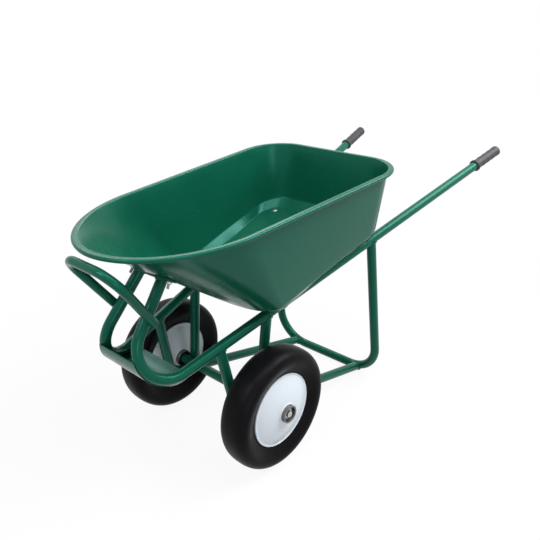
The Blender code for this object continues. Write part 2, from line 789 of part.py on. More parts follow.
def build_tub(shop):
    """A pressed tub: flat floor, filleted foot, flared walls and a rim rolled outwards."""
    columns = tub_columns()
    shape = bmesh.new()
    grid = [[shape.verts.new(point) for point in column] for column in columns]
    for i, column in enumerate(grid):
        following = grid[(i + 1) % len(grid)]
        for low in range(len(column) - 1):
            shape.faces.new((column[low], following[low], following[low + 1], column[low + 1]))
    shape.faces.new([column[0] for column in grid])
    bmesh.ops.recalc_face_normals(shape, faces=shape.faces)
    floor = max(shape.faces, key=lambda face: len(face.verts))
    floor.normal_update()
    if floor.normal.z < 0:
        bmesh.ops.reverse_faces(shape, faces=shape.faces)
    mesh = bpy.data.meshes.new("tub")
    shape.to_mesh(mesh)
    shape.free()
    smooth(mesh)
    tub = add_object("tub", mesh, shop.parts, shop.green, shop.root)
    skin = tub.modifiers.new("sheet", "SOLIDIFY")
    skin.thickness = SHEET
    skin.offset = -1
    skin.use_even_offset = True
    return tub


# Straps and bolts


def build_straps(shop):
    """Flat bars: two across the rails under the floor, and one across the risers under the nose."""
    straps = {}
    for name, x in (("rear_strap", REAR_STRAP_X), ("front_strap", FRONT_STRAP_X)):
        middle = deck_point(x, 0, STRAP_BOTTOM + STRAP_THICKNESS / 2)
        length = 2 * (rail_point(x).y + STRAP_OVERHANG)
        placing = axes_matrix(middle, Vector((1, 0, 0)), DECK_NORMAL)
        straps[name] = shop.block(name, (STRAP_WIDTH, length, STRAP_THICKNESS), placing, shop.green, 0.006)
    middle = ramp_point(RISER_TOP_X, 0, -(SHEET + GAP + STRAP_THICKNESS / 2))
    placing = axes_matrix(middle, RAMP_DIRECTION, RAMP_NORMAL)
    size = (STRAP_WIDTH, 2 * NOSE_STRAP_HALF_LENGTH, STRAP_THICKNESS)
    straps["nose_strap"] = shop.block("nose_strap", size, placing, shop.green, 0.012)
    return straps


def bolt_sites():
    """(name, strap, point on the tub's inner face, direction out of it, spare thread) for each bolt."""
    sites = []
    for word, side in SIDES.items():
        for place, x in (("rear", REAR_STRAP_X), ("front", FRONT_STRAP_X)):
            point = deck_point(x, side * (rail_point(x).y - BOLT_INSET), FLOOR_TOP)
            sites.append((f"{word}_{place}", f"{place}_strap", point, DECK_NORMAL, BOLT_SPARE))
        y = side * (NOSE_STRAP_HALF_LENGTH - NOSE_BOLT_INSET)
        point = ramp_point(RISER_TOP_X, y, 0)
        sites.append((f"{word}_nose", "nose_strap", point, RAMP_NORMAL, NOSE_BOLT_SPARE))
    return sites


def nut_mesh(shop):
    """A hexagon nut about the local Z axis, standing on the origin, with its bore."""
    shape = bmesh.new()
    corner = NUT_ACROSS_FLATS / math.sqrt(3)
    bmesh.ops.create_cone(shape, cap_ends=True, segments=6, radius1=corner, radius2=corner, depth=NUT_HEIGHT)
    bmesh.ops.translate(shape, verts=shape.verts, vec=(0, 0, NUT_HEIGHT / 2))
    mesh = bpy.data.meshes.new("nut_blank")
    shape.to_mesh(mesh)
    shape.free()
    blank = add_object("nut_blank", mesh, shop.cutters)
    low, high = Vector((0, 0, -NUT_HEIGHT)), Vector((0, 0, 2 * NUT_HEIGHT))
    bore = rod_mesh("nut_bore", BOLT_RADIUS + GAP, low, high, BOLT_SIDES)
    tool = add_object("nut_bore", bore, shop.cutters)
    shop.cut(blank, tool)
    made = mesh_of(blank, "hex_nut")
    bpy.data.objects.remove(blank)
    bpy.data.objects.remove(tool)
    return made


def build_bolts(shop, tub, straps):
    """A round-headed bolt and a nut at each place where the tub is held down."""
    nut = nut_mesh(shop)
    stack = SHEET + GAP + STRAP_THICKNESS
    for name, strap, point, normal, spare in bolt_sites():
        placing = axes_matrix(point, Y, normal)
        nut_low = -(stack + GAP + NUT_HEIGHT)
        tip = nut_low - spare
        head = [
            (BOLT_HEAD_RADIUS * math.sin(turn), GAP + BOLT_HEAD_HEIGHT * math.cos(turn))
            for turn in (math.radians(step) for step in (0, 50, 90))
        ]
        shank = [(BOLT_RADIUS, GAP), (BOLT_RADIUS, tip), (0, tip)]
        shop.turned(f"{name}_bolt", head + shank, BOLT_SIDES, shop.zinc, shop.root, placing)
        seat = placing @ Matrix.Translation((0, 0, nut_low))
        add_object(f"{name}_nut", nut, shop.parts, shop.zinc, shop.root, seat)
        above, below = Vector((0, 0, 0.01)), Vector((0, 0, -0.02))
        hole = rod_mesh(f"{name}_hole", BOLT_RADIUS + GAP, above, below, BOLT_SIDES)
        tool = shop.cutter(f"{name}_hole", hole, placing)
        shop.cut(tub, tool)
        shop.cut(straps[strap], tool)


def stand_on_origin(shop):
    """Moves the product so that the middle of its bounding box stands on the world's origin."""
    bpy.context.view_layer.update()
    graph = bpy.context.evaluated_depsgraph_get()
    places = []
    for item in shop.parts.objects:
        if item.type == "MESH":
            whole = item.evaluated_get(graph)
            places += [whole.matrix_world @ vertex.co for vertex in whole.data.vertices]
    low = Vector(min(place[axis] for place in places) for axis in range(3))
    high = Vector(max(place[axis] for place in places) for axis in range(3))
    shop.root.location = -Vector(((low.x + high.x) / 2, (low.y + high.y) / 2, low.z))


def main():
    clear_scene()
    shop = Workshop()
    build_rails(shop)
    build_grips(shop)
    build_hoop(shop)
    build_nose_plate(shop)
    build_stand(shop)
    build_cradles(shop)
    build_rear_struts(shop)
    build_axle(shop)
    for word, side in SIDES.items():
        build_wheel(shop, word, side)
    tub = build_tub(shop)
    straps = build_straps(shop)
    build_bolts(shop, tub, straps)
    stand_on_origin(shop)


main()
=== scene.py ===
"""Looks of a two-wheeled concrete wheelbarrow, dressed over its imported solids.

Sizes are in metres, with x measured from the axle. They repeat those of the solids, apart from the tub's foot
and what is fixed to its nose, which follow the photograph more closely. The workbench moves each finished piece
by the axle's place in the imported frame, so a piece lies where its solid lies.
"""

import json
import logging
import math
from dataclasses import dataclass
from enum import Enum, IntEnum
from typing import Sequence

import bmesh
import bpy
from mathutils import Matrix, Vector
from mathutils.bvhtree import BVHTree


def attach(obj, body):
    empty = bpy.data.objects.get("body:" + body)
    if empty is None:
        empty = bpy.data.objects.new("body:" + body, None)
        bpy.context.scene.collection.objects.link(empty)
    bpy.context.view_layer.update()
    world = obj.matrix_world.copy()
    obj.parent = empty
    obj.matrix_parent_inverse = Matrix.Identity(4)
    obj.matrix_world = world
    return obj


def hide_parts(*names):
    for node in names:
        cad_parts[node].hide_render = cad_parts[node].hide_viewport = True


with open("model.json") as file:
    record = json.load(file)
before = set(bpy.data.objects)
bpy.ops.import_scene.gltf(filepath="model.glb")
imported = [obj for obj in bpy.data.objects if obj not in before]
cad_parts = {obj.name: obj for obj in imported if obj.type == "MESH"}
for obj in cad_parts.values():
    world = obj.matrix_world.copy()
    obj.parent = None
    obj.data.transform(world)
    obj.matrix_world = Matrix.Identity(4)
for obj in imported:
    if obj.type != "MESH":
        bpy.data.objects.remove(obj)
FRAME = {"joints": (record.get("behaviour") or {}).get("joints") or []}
log = logging.getLogger("wheelbarrow")

X = Vector((1, 0, 0))
Y = Vector((0, 1, 0))
Z = Vector((0, 0, 1))
Place = tuple[float, float, float]
Colour = tuple[float, float, float]
Pair = tuple[float, float]
Profile = list[Pair]
Ring = list[Vector]
Node = bpy.types.Node
Socket = bpy.types.NodeSocket
Tree = bpy.types.NodeTree
Feed = float | Colour | Socket
Inputs = dict[str | int, Feed]
WHITE: Colour = (1.0, 1.0, 1.0)


class Side(IntEnum):
    """The two sides of the barrow, which count as the sign of their y."""

    LEFT = 1
    RIGHT = -1

    @property
    def word(self) -> str:
        """The side's name as it stands in the nodes' names."""
        return self.name.lower()


class Finish(Enum):
    """The finishes, each under the material slot of the record that it stands for."""

    GREEN = "green_paint"
    WHITE = "white_paint"
    TYRE = "tyre_rubber"
    GRIP = "grip_rubber"
    ZINC = "zinc"
    STEEL = "bare_steel"


# Paths, sections and meshes


def corner_arc(before: Vector, corner: Vector, after: Vector, radius: float, steps: int) -> Ring:
    """Rounds a corner between two straight runs.

    Args:
        before: a point of the run that comes in.
        corner: the sharp corner.
        after: a point of the run that goes out.
        radius: radius of the bend's centre line.
        steps: number of chords.

    Returns:
        The points of the arc, from the incoming run to the outgoing one.
    """
    to_before = (before - corner).normalized()
    to_after = (after - corner).normalized()
    half = to_before.angle(to_after) / 2
    reach = radius / math.tan(half)
    centre = corner + (to_before + to_after).normalized() * radius / math.sin(half)
    start = corner + to_before * reach - centre
    axis = start.cross(corner + to_after * reach - centre)
    turn = math.pi - 2 * half
    return [centre + Matrix.Rotation(turn * i / steps, 3, axis) @ start for i in range(steps + 1)]


def bent_path(corners: Sequence[Vector], radius: float, steps: int) -> Ring:
    """Runs a centre line through the corner points, with every inner corner rounded.

    Args:
        corners: the ends and the sharp corners.
        radius: radius of each bend's centre line.
        steps: chords in each bend.

    Returns:
        The points of the centre line.
    """
    path = [corners[0]]
    for before, corner, after in zip(corners, corners[1:], corners[2:]):
        path += corner_arc(before, corner, after, radius, steps)
    path.append(corners[-1])
    return path


def spline(points: Sequence[Vector], steps: int, closed: bool = False) -> Ring:
    """Draws a smooth curve through points.

    Args:
        points: the points that the curve passes through.
        steps: chords between one point and the next.
        closed: whether the curve returns to its first point.

    Returns:
        The points of the curve, without its first point again at the end of a closed one.
    """
    count = len(points)
    made = []
    for i in range(count if closed else count - 1):
        near = range(i - 1, i + 3)
        a, b, c, d = (points[k % count if closed else min(max(k, 0), count - 1)] for k in near)
        for step in range(steps):
            t = step / steps
            square, cube = 2 * a - 5 * b + 4 * c - d, 3 * b - a - 3 * c + d
            made.append(0.5 * (2 * b + (c - a) * t + square * t**2 + cube * t**3))
    if not closed:
        made.append(points[-1].copy())
    return made


def smooth_profile(points: Profile, steps: int) -> Profile:
    """A smooth open section through (radius, height) points, with some chords from each to the next."""
    curve = spline([Vector((radius, height, 0)) for radius, height in points], steps)
    return [(place.x, place.y) for place in curve]


def sheet_profile(face: Profile, thickness: float) -> Profile:
    """Closes the section of a sheet whose one face is given.

    Args:
        face: the given face, as (radius, height) points.
        thickness: how far the other face lies from it, to the right of the way that the points run.

    Returns:
        Both faces as one closed section.
    """
    back = []
    for i, (radius, height) in enumerate(face):
        r0, h0 = face[max(i - 1, 0)]
        r1, h1 = face[min(i + 1, len(face) - 1)]
        length = math.hypot(r1 - r0, h1 - h0)
        back.append((radius + (h1 - h0) / length * thickness, height - (r1 - r0) / length * thickness))
    return face + list(reversed(back))


def mirrored_profile(half: Profile) -> Profile:
    """A section that is the same on both sides of a wheel's middle plane, from its upper half."""
    return half + [(radius, -height) for radius, height in reversed(half) if height]


def dome(radius: float, foot: float, height: float, steps: int = 10) -> Profile:
    """The section of a dome from its top on the axis down to its edge, which is level with its foot."""
    turns = (math.radians(90 / steps * step) for step in range(steps + 1))
    return [(radius * math.sin(turn), foot + height * math.cos(turn)) for turn in turns]


def sweep(path: Sequence[Vector], radii: Sequence[float], sides: int, closed: bool = False) -> list[Ring]:
    """Sets a round section square to each point of a path, without twist.

    Args:
        path: the centre line.
        radii: the section's radius at each point.
        sides: points in each section.
        closed: whether the path returns to its first point.

    Returns:
        One ring of points for each point of the path.
    """
    count = len(path)
    rings = []
    across = Vector()
    for i, place in enumerate(path):
        before = path[i - 1] if closed or i else place
        after = path[(i + 1) % count] if closed or i < count - 1 else place
        along = ((place - before).normalized() + (after - place).normalized()).normalized()
        across = (across - along * across.dot(along)) if i else along.orthogonal()
        across.normalize()
        up = along.cross(across)
        turns = (math.tau * k / sides for k in range(sides))
        rings.append([place + radii[i] * (math.cos(t) * across + math.sin(t) * up) for t in turns])
    return rings


@dataclass(frozen=True)
class RoundSeat:
    """The outside of a straight tube.

    Attributes:
        point: a point on the tube's centre line.
        along: the centre line's direction.
        radius: the tube's radius.
    """

    point: Vector
    along: Vector
    radius: float

    @classmethod
    def near(cls, path: Sequence[Vector], place: Vector, radius: float) -> "RoundSeat":
        """Takes the stretch of a bent tube that passes nearest to a place.

        Args:
            path: the bent tube's centre line.
            place: where the other tube meets it.
            radius: the bent tube's radius.

        Returns:
            That stretch as a straight seat.
        """

        def distance(stretch: tuple[Vector, Vector]) -> float:
            """Distance from the place to a stretch, counted from the nearer end of it."""
            start, end = stretch
            return ((start + end) / 2 - place).length - (end - start).length / 2

        start, end = min(zip(path, path[1:]), key=distance)
        return cls(start, (end - start).normalized(), radius)

    def reach(self, start: Vector, along: Vector) -> float:
        """Distance to where a ray first meets the tube, or passes nearest to its centre line.

        Args:
            start: the ray's start.
            along: the ray's direction.

        Returns:
            The distance along the ray.
        """
        ray = along - self.along * along.dot(self.along)
        offset = start - self.point
        offset -= self.along * offset.dot(self.along)
        square, half, rest = ray.dot(ray), offset.dot(ray), offset.dot(offset) - self.radius**2
        return (-half - math.sqrt(max(half * half - square * rest, 0))) / square


@dataclass(frozen=True)
class FlatSeat:
    """A flat face.

    Attributes:
        point: a point on the face.
        normal: the direction square to it.
    """

    point: Vector
    normal: Vector

    def reach(self, start: Vector, along: Vector) -> float:
        """Distance from a point to the face in a direction."""
        return (self.point - start).dot(self.normal) / along.dot(self.normal)


Seat = RoundSeat | FlatSeat


class Draft:
    """The points and faces of a piece while it is put together."""

    def __init__(self) -> None:
        """Starts an empty piece."""
        self.points: list[Vector] = []
        self.faces: list[tuple[int, ...]] = []

    def loft(
        self, rings: Sequence[Ring], wrap: bool = True, loop: bool = False, caps: tuple[bool, bool] = (False, False)
    ) -> "Draft":
        """Joins rings of points with faces.

        Args:
            rings: the rings, all with the same number of points.
            wrap: whether each ring's last point joins its first.
            loop: whether the last ring joins the first.
            caps: whether the first and the last ring are closed with a face.

        Returns:
            This draft.
        """
        base, width = len(self.points), len(rings[0])
        for ring in rings:
            self.points += ring
        for i in range(len(rings) if loop else len(rings) - 1):
            low, high = base + i * width, base + (i + 1) % len(rings) * width
            for k in range(width if wrap else width - 1):
                following = (k + 1) % width
                self.faces.append((low + k, low + following, high + following, high + k))
        if caps[0]:
            self.faces.append(tuple(base + k for k in reversed(range(width))))
        if caps[1]:
            last = base + (len(rings) - 1) * width
            self.faces.append(tuple(last + k for k in range(width)))
        return self

    def lathe(self, section: Profile, centre: Vector, axis: Vector, steps: int, closed: bool = True) -> "Draft":
        """Turns a section about an axis.

        Args:
            section: (radius, height along the axis) points.
            centre: where the height is nought.
            axis: the axis's direction.
            steps: number of sectors.
            closed: whether the section returns to its first point; an open one starts and ends on the axis.

        Returns:
            This draft.
        """
        across = axis.orthogonal().normalized()
        up = axis.cross(across)
        rings = []
        for step in range(steps):
            turn = math.tau * step / steps
            out = math.cos(turn) * across + math.sin(turn) * up
            rings.append([centre + out * radius + axis * height for radius, height in section])
        return self.loft(rings, wrap=closed, loop=True)

    def block(self, size: Vector, placing: Matrix) -> "Draft":
        """Adds a box.

        Args:
            size: its length, width and height.
            placing: where its middle lies and how it is turned.

        Returns:
            This draft.
        """
        half = size / 2
        corners = ((-half.x, -half.y), (half.x, -half.y), (half.x, half.y), (-half.x, half.y))
        rings = [[placing @ Vector((x, y, z)) for x, y in corners] for z in (-half.z, half.z)]
        return self.loft(rings, caps=(True, True))

    def mesh(self, name: str, shift: Vector) -> bpy.types.Mesh:
        """Makes the mesh.

        Args:
            name: the mesh's name.
            shift: how far every point is moved.

        Returns:
            A mesh with its faces turned outwards and its doubled points joined.
        """
        made = bpy.data.meshes.new(name)
        made.from_pydata([place + shift for place in self.points], [], self.faces)
        shape = bmesh.new()
        shape.from_mesh(made)
        bmesh.ops.remove_doubles(shape, verts=shape.verts, dist=2e-6)
        bmesh.ops.recalc_face_normals(shape, faces=shape.faces)
        shape.to_mesh(made)
        shape.free()
        return made


def add_object(name: str, data: bpy.types.ID) -> bpy.types.Object:
    """Makes an object and links it into the scene.

    Args:
        name: its name.
        data: the mesh, light or camera that it shows.

    Returns:
        The object.
    """
    made = bpy.data.objects.new(name, data)
    bpy.context.scene.collection.objects.link(made)
    return made


def turned_to(origin: Vector, along: Vector, up: Vector) -> Matrix:
    """A placing at a point, with its x axis along one direction and its z axis towards another.

    Args:
        origin: the placing's origin.
        along: where its x axis points, as nearly as its z axis allows.
        up: where its z axis points.

    Returns:
        The placing as a matrix.
    """
    z = up.normalized()
    y = z.cross(along).normalized()
    return Matrix.Translation(origin) @ Matrix((y.cross(z), y, z)).transposed().to_4x4()


# Finishes


def plug(node: Node, inputs: Inputs) -> Node:
    """Sets a node's inputs.

    Args:
        node: the node.
        inputs: by name or place, a socket to link, or a number or a colour to set.

    Returns:
        The node.
    """
    for label, value in inputs.items():
        if isinstance(value, Socket):
            node.id_data.links.new(value, node.inputs[label])
        else:
            node.inputs[label].default_value = (*value, 1) if isinstance(value, tuple) else value
    return node


def add_node(tree: Tree, kind: str, inputs: Inputs | None = None, **settings: object) -> Node:
    """Adds a node to a tree.

    Args:
        tree: the tree.
        kind: the node's type.
        inputs: its inputs, as plug takes them.
        settings: its own settings by name.

    Returns:
        The node.
    """
    node = tree.nodes.new(kind)
    for label, value in settings.items():
        setattr(node, label, value)
    return plug(node, inputs or {})


def spaced(values: dict[str, Feed]) -> Inputs:
    """Keyword values under the names of sockets, with spaces for underscores."""
    return {label.replace("_", " "): value for label, value in values.items()}


class Effects:
    """The shader groups that several finishes share, each made once."""

    def __init__(self) -> None:
        """Makes the groups."""
        self.mottle = self._mottle()
        self.peel = self._peel()
        self.edge = self._edge()
        self.specks = self._specks()

    @staticmethod
    def _group(name: str, inputs: Sequence[str], output: str) -> tuple[Tree, bpy.types.NodeOutputs, Node]:
        """Starts a shader group with number sockets.

        Args:
            name: the group's name.
            inputs: the names of its inputs.
            output: the name of its one output.

        Returns:
            The group, the sockets that give its inputs, and its output node.
        """
        tree = bpy.data.node_groups.new(name, "ShaderNodeTree")
        for label in inputs:
            tree.interface.new_socket(label, in_out="INPUT", socket_type="NodeSocketFloat")
        tree.interface.new_socket(output, in_out="OUTPUT", socket_type="NodeSocketFloat")
        return tree, tree.nodes.new("NodeGroupInput").outputs, tree.nodes.new("NodeGroupOutput")

    @staticmethod
    def _noise(tree: Tree, scale: Socket, octaves: float) -> Socket:
        """A noise over the piece's own coordinates, with its scale per metre."""
        place = add_node(tree, "ShaderNodeTexCoord").outputs["Object"]
        return add_node(tree, "ShaderNodeTexNoise", {"Vector": place, "Scale": scale, "Detail": octaves}).outputs["Fac"]

    @staticmethod
    def _math(tree: Tree, operation: str, first: Feed, second: Feed, clamp: bool = False) -> Socket:
        """The result of a node of arithmetic, kept between 0 and 1 if it clamps."""
        return add_node(tree, "ShaderNodeMath", {0: first, 1: second}, operation=operation, use_clamp=clamp).outputs[0]

    def _mottle(self) -> Tree:
        """Slow cloudy variation, from a low value to a high one.

        Returns:
            The group.
        """
        tree, given, made = self._group("soft_mottle", ("Scale", "Low", "High"), "Value")
        noise = self._noise(tree, given["Scale"], octaves=3.0)
        span = {"Value": noise, "From Min": 0.32, "From Max": 0.68, "To Min": given["Low"], "To Max": given["High"]}
        plug(made, {"Value": add_node(tree, "ShaderNodeMapRange", span).outputs["Result"]})
        return tree

    def _peel(self) -> Tree:
        """Height of a fine peel or grain over slow waves, of which a share is taken.

        Returns:
            The group.
        """
        tree, given, made = self._group("sprayed_peel", ("Peel Scale", "Wave Scale", "Wave Share"), "Height")
        fine = self._noise(tree, given["Peel Scale"], octaves=2.0)
        slow = self._noise(tree, given["Wave Scale"], octaves=1.0)
        waves = self._math(tree, "MULTIPLY", slow, given["Wave Share"])
        plug(made, {"Height": self._math(tree, "ADD", fine, waves)})
        return tree

    def _edge(self) -> Tree:
        """Mask of the raised edges, broken up by noise, where a coat runs thin or rubs bright.

        Returns:
            The group.
        """
        tree, given, made = self._group("raised_edge", ("Start", "Gain", "Breakup Scale"), "Mask")
        raised = add_node(tree, "ShaderNodeNewGeometry").outputs["Pointiness"]
        over = self._math(tree, "SUBTRACT", raised, given["Start"])
        mask = self._math(tree, "MULTIPLY", over, given["Gain"], clamp=True)
        noise = self._noise(tree, given["Breakup Scale"], octaves=4.0)
        plug(made, {"Mask": self._math(tree, "MULTIPLY", mask, noise)})
        return tree

    def _specks(self) -> Tree:
        """Mask of small scattered specks of dust.

        Returns:
            The group.
        """
        tree, given, made = self._group("dust_specks", ("Scale", "Size"), "Mask")
        place = add_node(tree, "ShaderNodeTexCoord").outputs["Object"]
        cells = add_node(tree, "ShaderNodeTexVoronoi", {"Vector": place, "Scale": given["Scale"]})
        plug(made, {"Mask": self._math(tree, "LESS_THAN", cells.outputs["Distance"], given["Size"])})
        return tree


@dataclass(frozen=True)
class Coat:
    """What every finish has.

    Attributes:
        finish: the finish that it makes.
        colour: its main colour.
        cloud: the colour that it drifts into.
        roughness: the least and the most roughness over the surface.
    """

    finish: Finish
    colour: Colour
    cloud: Colour
    roughness: Pair


class Palette:
    """One material's node tree, with short ways to add to it."""

    def __init__(self, coat: Coat, effects: Effects, patches: float, metallic: float = 0.0) -> None:
        """Starts a material with a colour and an uneven roughness.

        Args:
            coat: the finish that it is made for.
            effects: the shared effects.
            patches: how many patches of roughness lie in a metre.
            metallic: 1 for bare metal.
        """
        self.coat = coat
        self.effects = effects
        self.material = bpy.data.materials.new(coat.finish.value)
        self.material.use_nodes = True
        self.tree = self.material.node_tree
        low, high = coat.roughness
        uneven = self.effect(effects.mottle, Scale=patches, Low=low, High=high)
        self.dress(Base_Color=coat.colour, Metallic=metallic, Roughness=uneven)

    def dress(self, **inputs: Feed) -> None:
        """Sets the shader's inputs, named with underscores for spaces."""
        plug(self.tree.nodes["Principled BSDF"], spaced(inputs))

    def effect(self, group: Tree, **values: float) -> Socket:
        """The output of a shared effect with its own values, named with underscores for spaces."""
        return add_node(self.tree, "ShaderNodeGroup", spaced(values), node_tree=group).outputs[0]

    def blend(self, mask: Socket, low: Feed, high: Feed) -> Socket:
        """Two colours mixed by a mask, which is 0 for the first of them and 1 for the second."""
        inputs = {"Factor": mask, "A": low, "B": high}
        return add_node(self.tree, "ShaderNodeMix", inputs, data_type="RGBA").outputs["Result"]

    def clouds(self, scale: float, most: float = 1.0) -> Socket:
        """The coat's colour, which drifts into its second one up to a share."""
        cloud = self.effect(self.effects.mottle, Scale=scale, Low=0.0, High=most)
        return self.blend(cloud, self.coat.colour, self.coat.cloud)

    def bump(self, height: Socket, strength: float, distance: float) -> Socket:
        """The normal of a surface raised by a height, where 1 stands for a distance in metres."""
        inputs = {"Height": height, "Strength": strength, "Distance": distance}
        return add_node(self.tree, "ShaderNodeBump", inputs).outputs["Normal"]


@dataclass(frozen=True)
class Enamel(Coat):
    """A sprayed gloss coat over steel sheet and tube.

    Attributes:
        thin: its colour along raised edges.
        relief: how much of its peel and of the waves in the metal shows, from 0 to 1.
        gloss: how much the coat reflects.
        sheen: the colour of what it reflects.
    """

    thin: Colour
    relief: float
    gloss: float
    sheen: Colour

    def build(self, effects: Effects) -> bpy.types.Material:
        """Makes the material.

        Args:
            effects: the shared effects.

        Returns:
            The material.
        """
        paint = Palette(self, effects, patches=24.0)
        edge = paint.effect(effects.edge, Start=0.53, Gain=10.0, Breakup_Scale=90.0)
        peel = paint.effect(effects.peel, Peel_Scale=420.0, Wave_Scale=7.0, Wave_Share=1.0)
        paint.dress(
            Base_Color=paint.blend(edge, paint.clouds(5.0), self.thin),
            Specular_IOR_Level=self.gloss,
            Specular_Tint=self.sheen,
            Normal=paint.bump(peel, self.relief, distance=0.0004),
        )
        return paint.material


@dataclass(frozen=True)
class Rubber(Coat):
    """Moulded rubber with a fine grain, which drifts into the colour of its bloom and dust.

    Attributes:
        grain: points of the grain per metre.
        depth: depth of the grain, in metres.
        gloss: how much the rubber reflects.
    """

    grain: float
    depth: float
    gloss: float

    def build(self, effects: Effects) -> bpy.types.Material:
        """Makes the material.

        Args:
            effects: the shared effects.

        Returns:
            The material.
        """
        rubber = Palette(self, effects, patches=30.0)
        specks = rubber.effect(effects.specks, Scale=190.0, Size=0.07)
        grain = rubber.effect(effects.peel, Peel_Scale=self.grain, Wave_Scale=40.0, Wave_Share=0.6)
        rubber.dress(
            Base_Color=rubber.blend(specks, rubber.clouds(14.0, most=0.6), self.cloud),
            Specular_IOR_Level=self.gloss,
            Normal=rubber.bump(grain, 0.5, self.depth),
        )
        return rubber.material


@dataclass(frozen=True)
class Metal(Coat):
    """Bare or plated steel, which drifts into a duller colour."""

    def build(self, effects: Effects) -> bpy.types.Material:
        """Makes the material.

        Args:
            effects: the shared effects.

        Returns:
            The material.
        """
        metal = Palette(self, effects, patches=240.0, metallic=1.0)
        grain = metal.effect(effects.peel, Peel_Scale=1500.0, Wave_Scale=60.0, Wave_Share=0.5)
        metal.dress(Base_Color=metal.clouds(110.0), Normal=metal.bump(grain, 0.3, distance=0.0001))
        return metal.material


FINISHES = (
    Enamel(
        Finish.GREEN,
        colour=(0.0044, 0.102, 0.059),
        cloud=(0.0034, 0.090, 0.051),
        roughness=(0.20, 0.28),
        thin=(0.008, 0.12, 0.075),
        relief=0.16,
        gloss=0.29,
        sheen=(0.30, 1.0, 0.92),
    ),
    Enamel(
        Finish.WHITE,
        colour=(0.80, 0.88, 0.96),
        cloud=(0.79, 0.85, 0.91),
        roughness=(0.30, 0.38),
        thin=(0.90, 0.93, 0.96),
        relief=0.06,
        gloss=0.6,
        sheen=(0.9, 0.96, 1.0),
    ),
    Rubber(
        Finish.TYRE,
        colour=(0.0035, 0.0035, 0.0042),
        cloud=(0.0062, 0.0062, 0.0075),
        roughness=(0.34, 0.44),
        grain=900.0,
        depth=0.00010,
        gloss=0.06,
    ),
    Rubber(
        Finish.GRIP,
        colour=(0.028, 0.028, 0.033),
        cloud=(0.060, 0.060, 0.068),
        roughness=(0.48, 0.62),
        grain=420.0,
        depth=0.00035,
        gloss=0.4,
    ),
    Metal(Finish.ZINC, colour=(0.52, 0.53, 0.52), cloud=(0.40, 0.41, 0.41), roughness=(0.26, 0.40)),
    Metal(Finish.STEEL, colour=(0.22, 0.22, 0.22), cloud=(0.13, 0.13, 0.13), roughness=(0.38, 0.52)),
)


# Layout and workbench


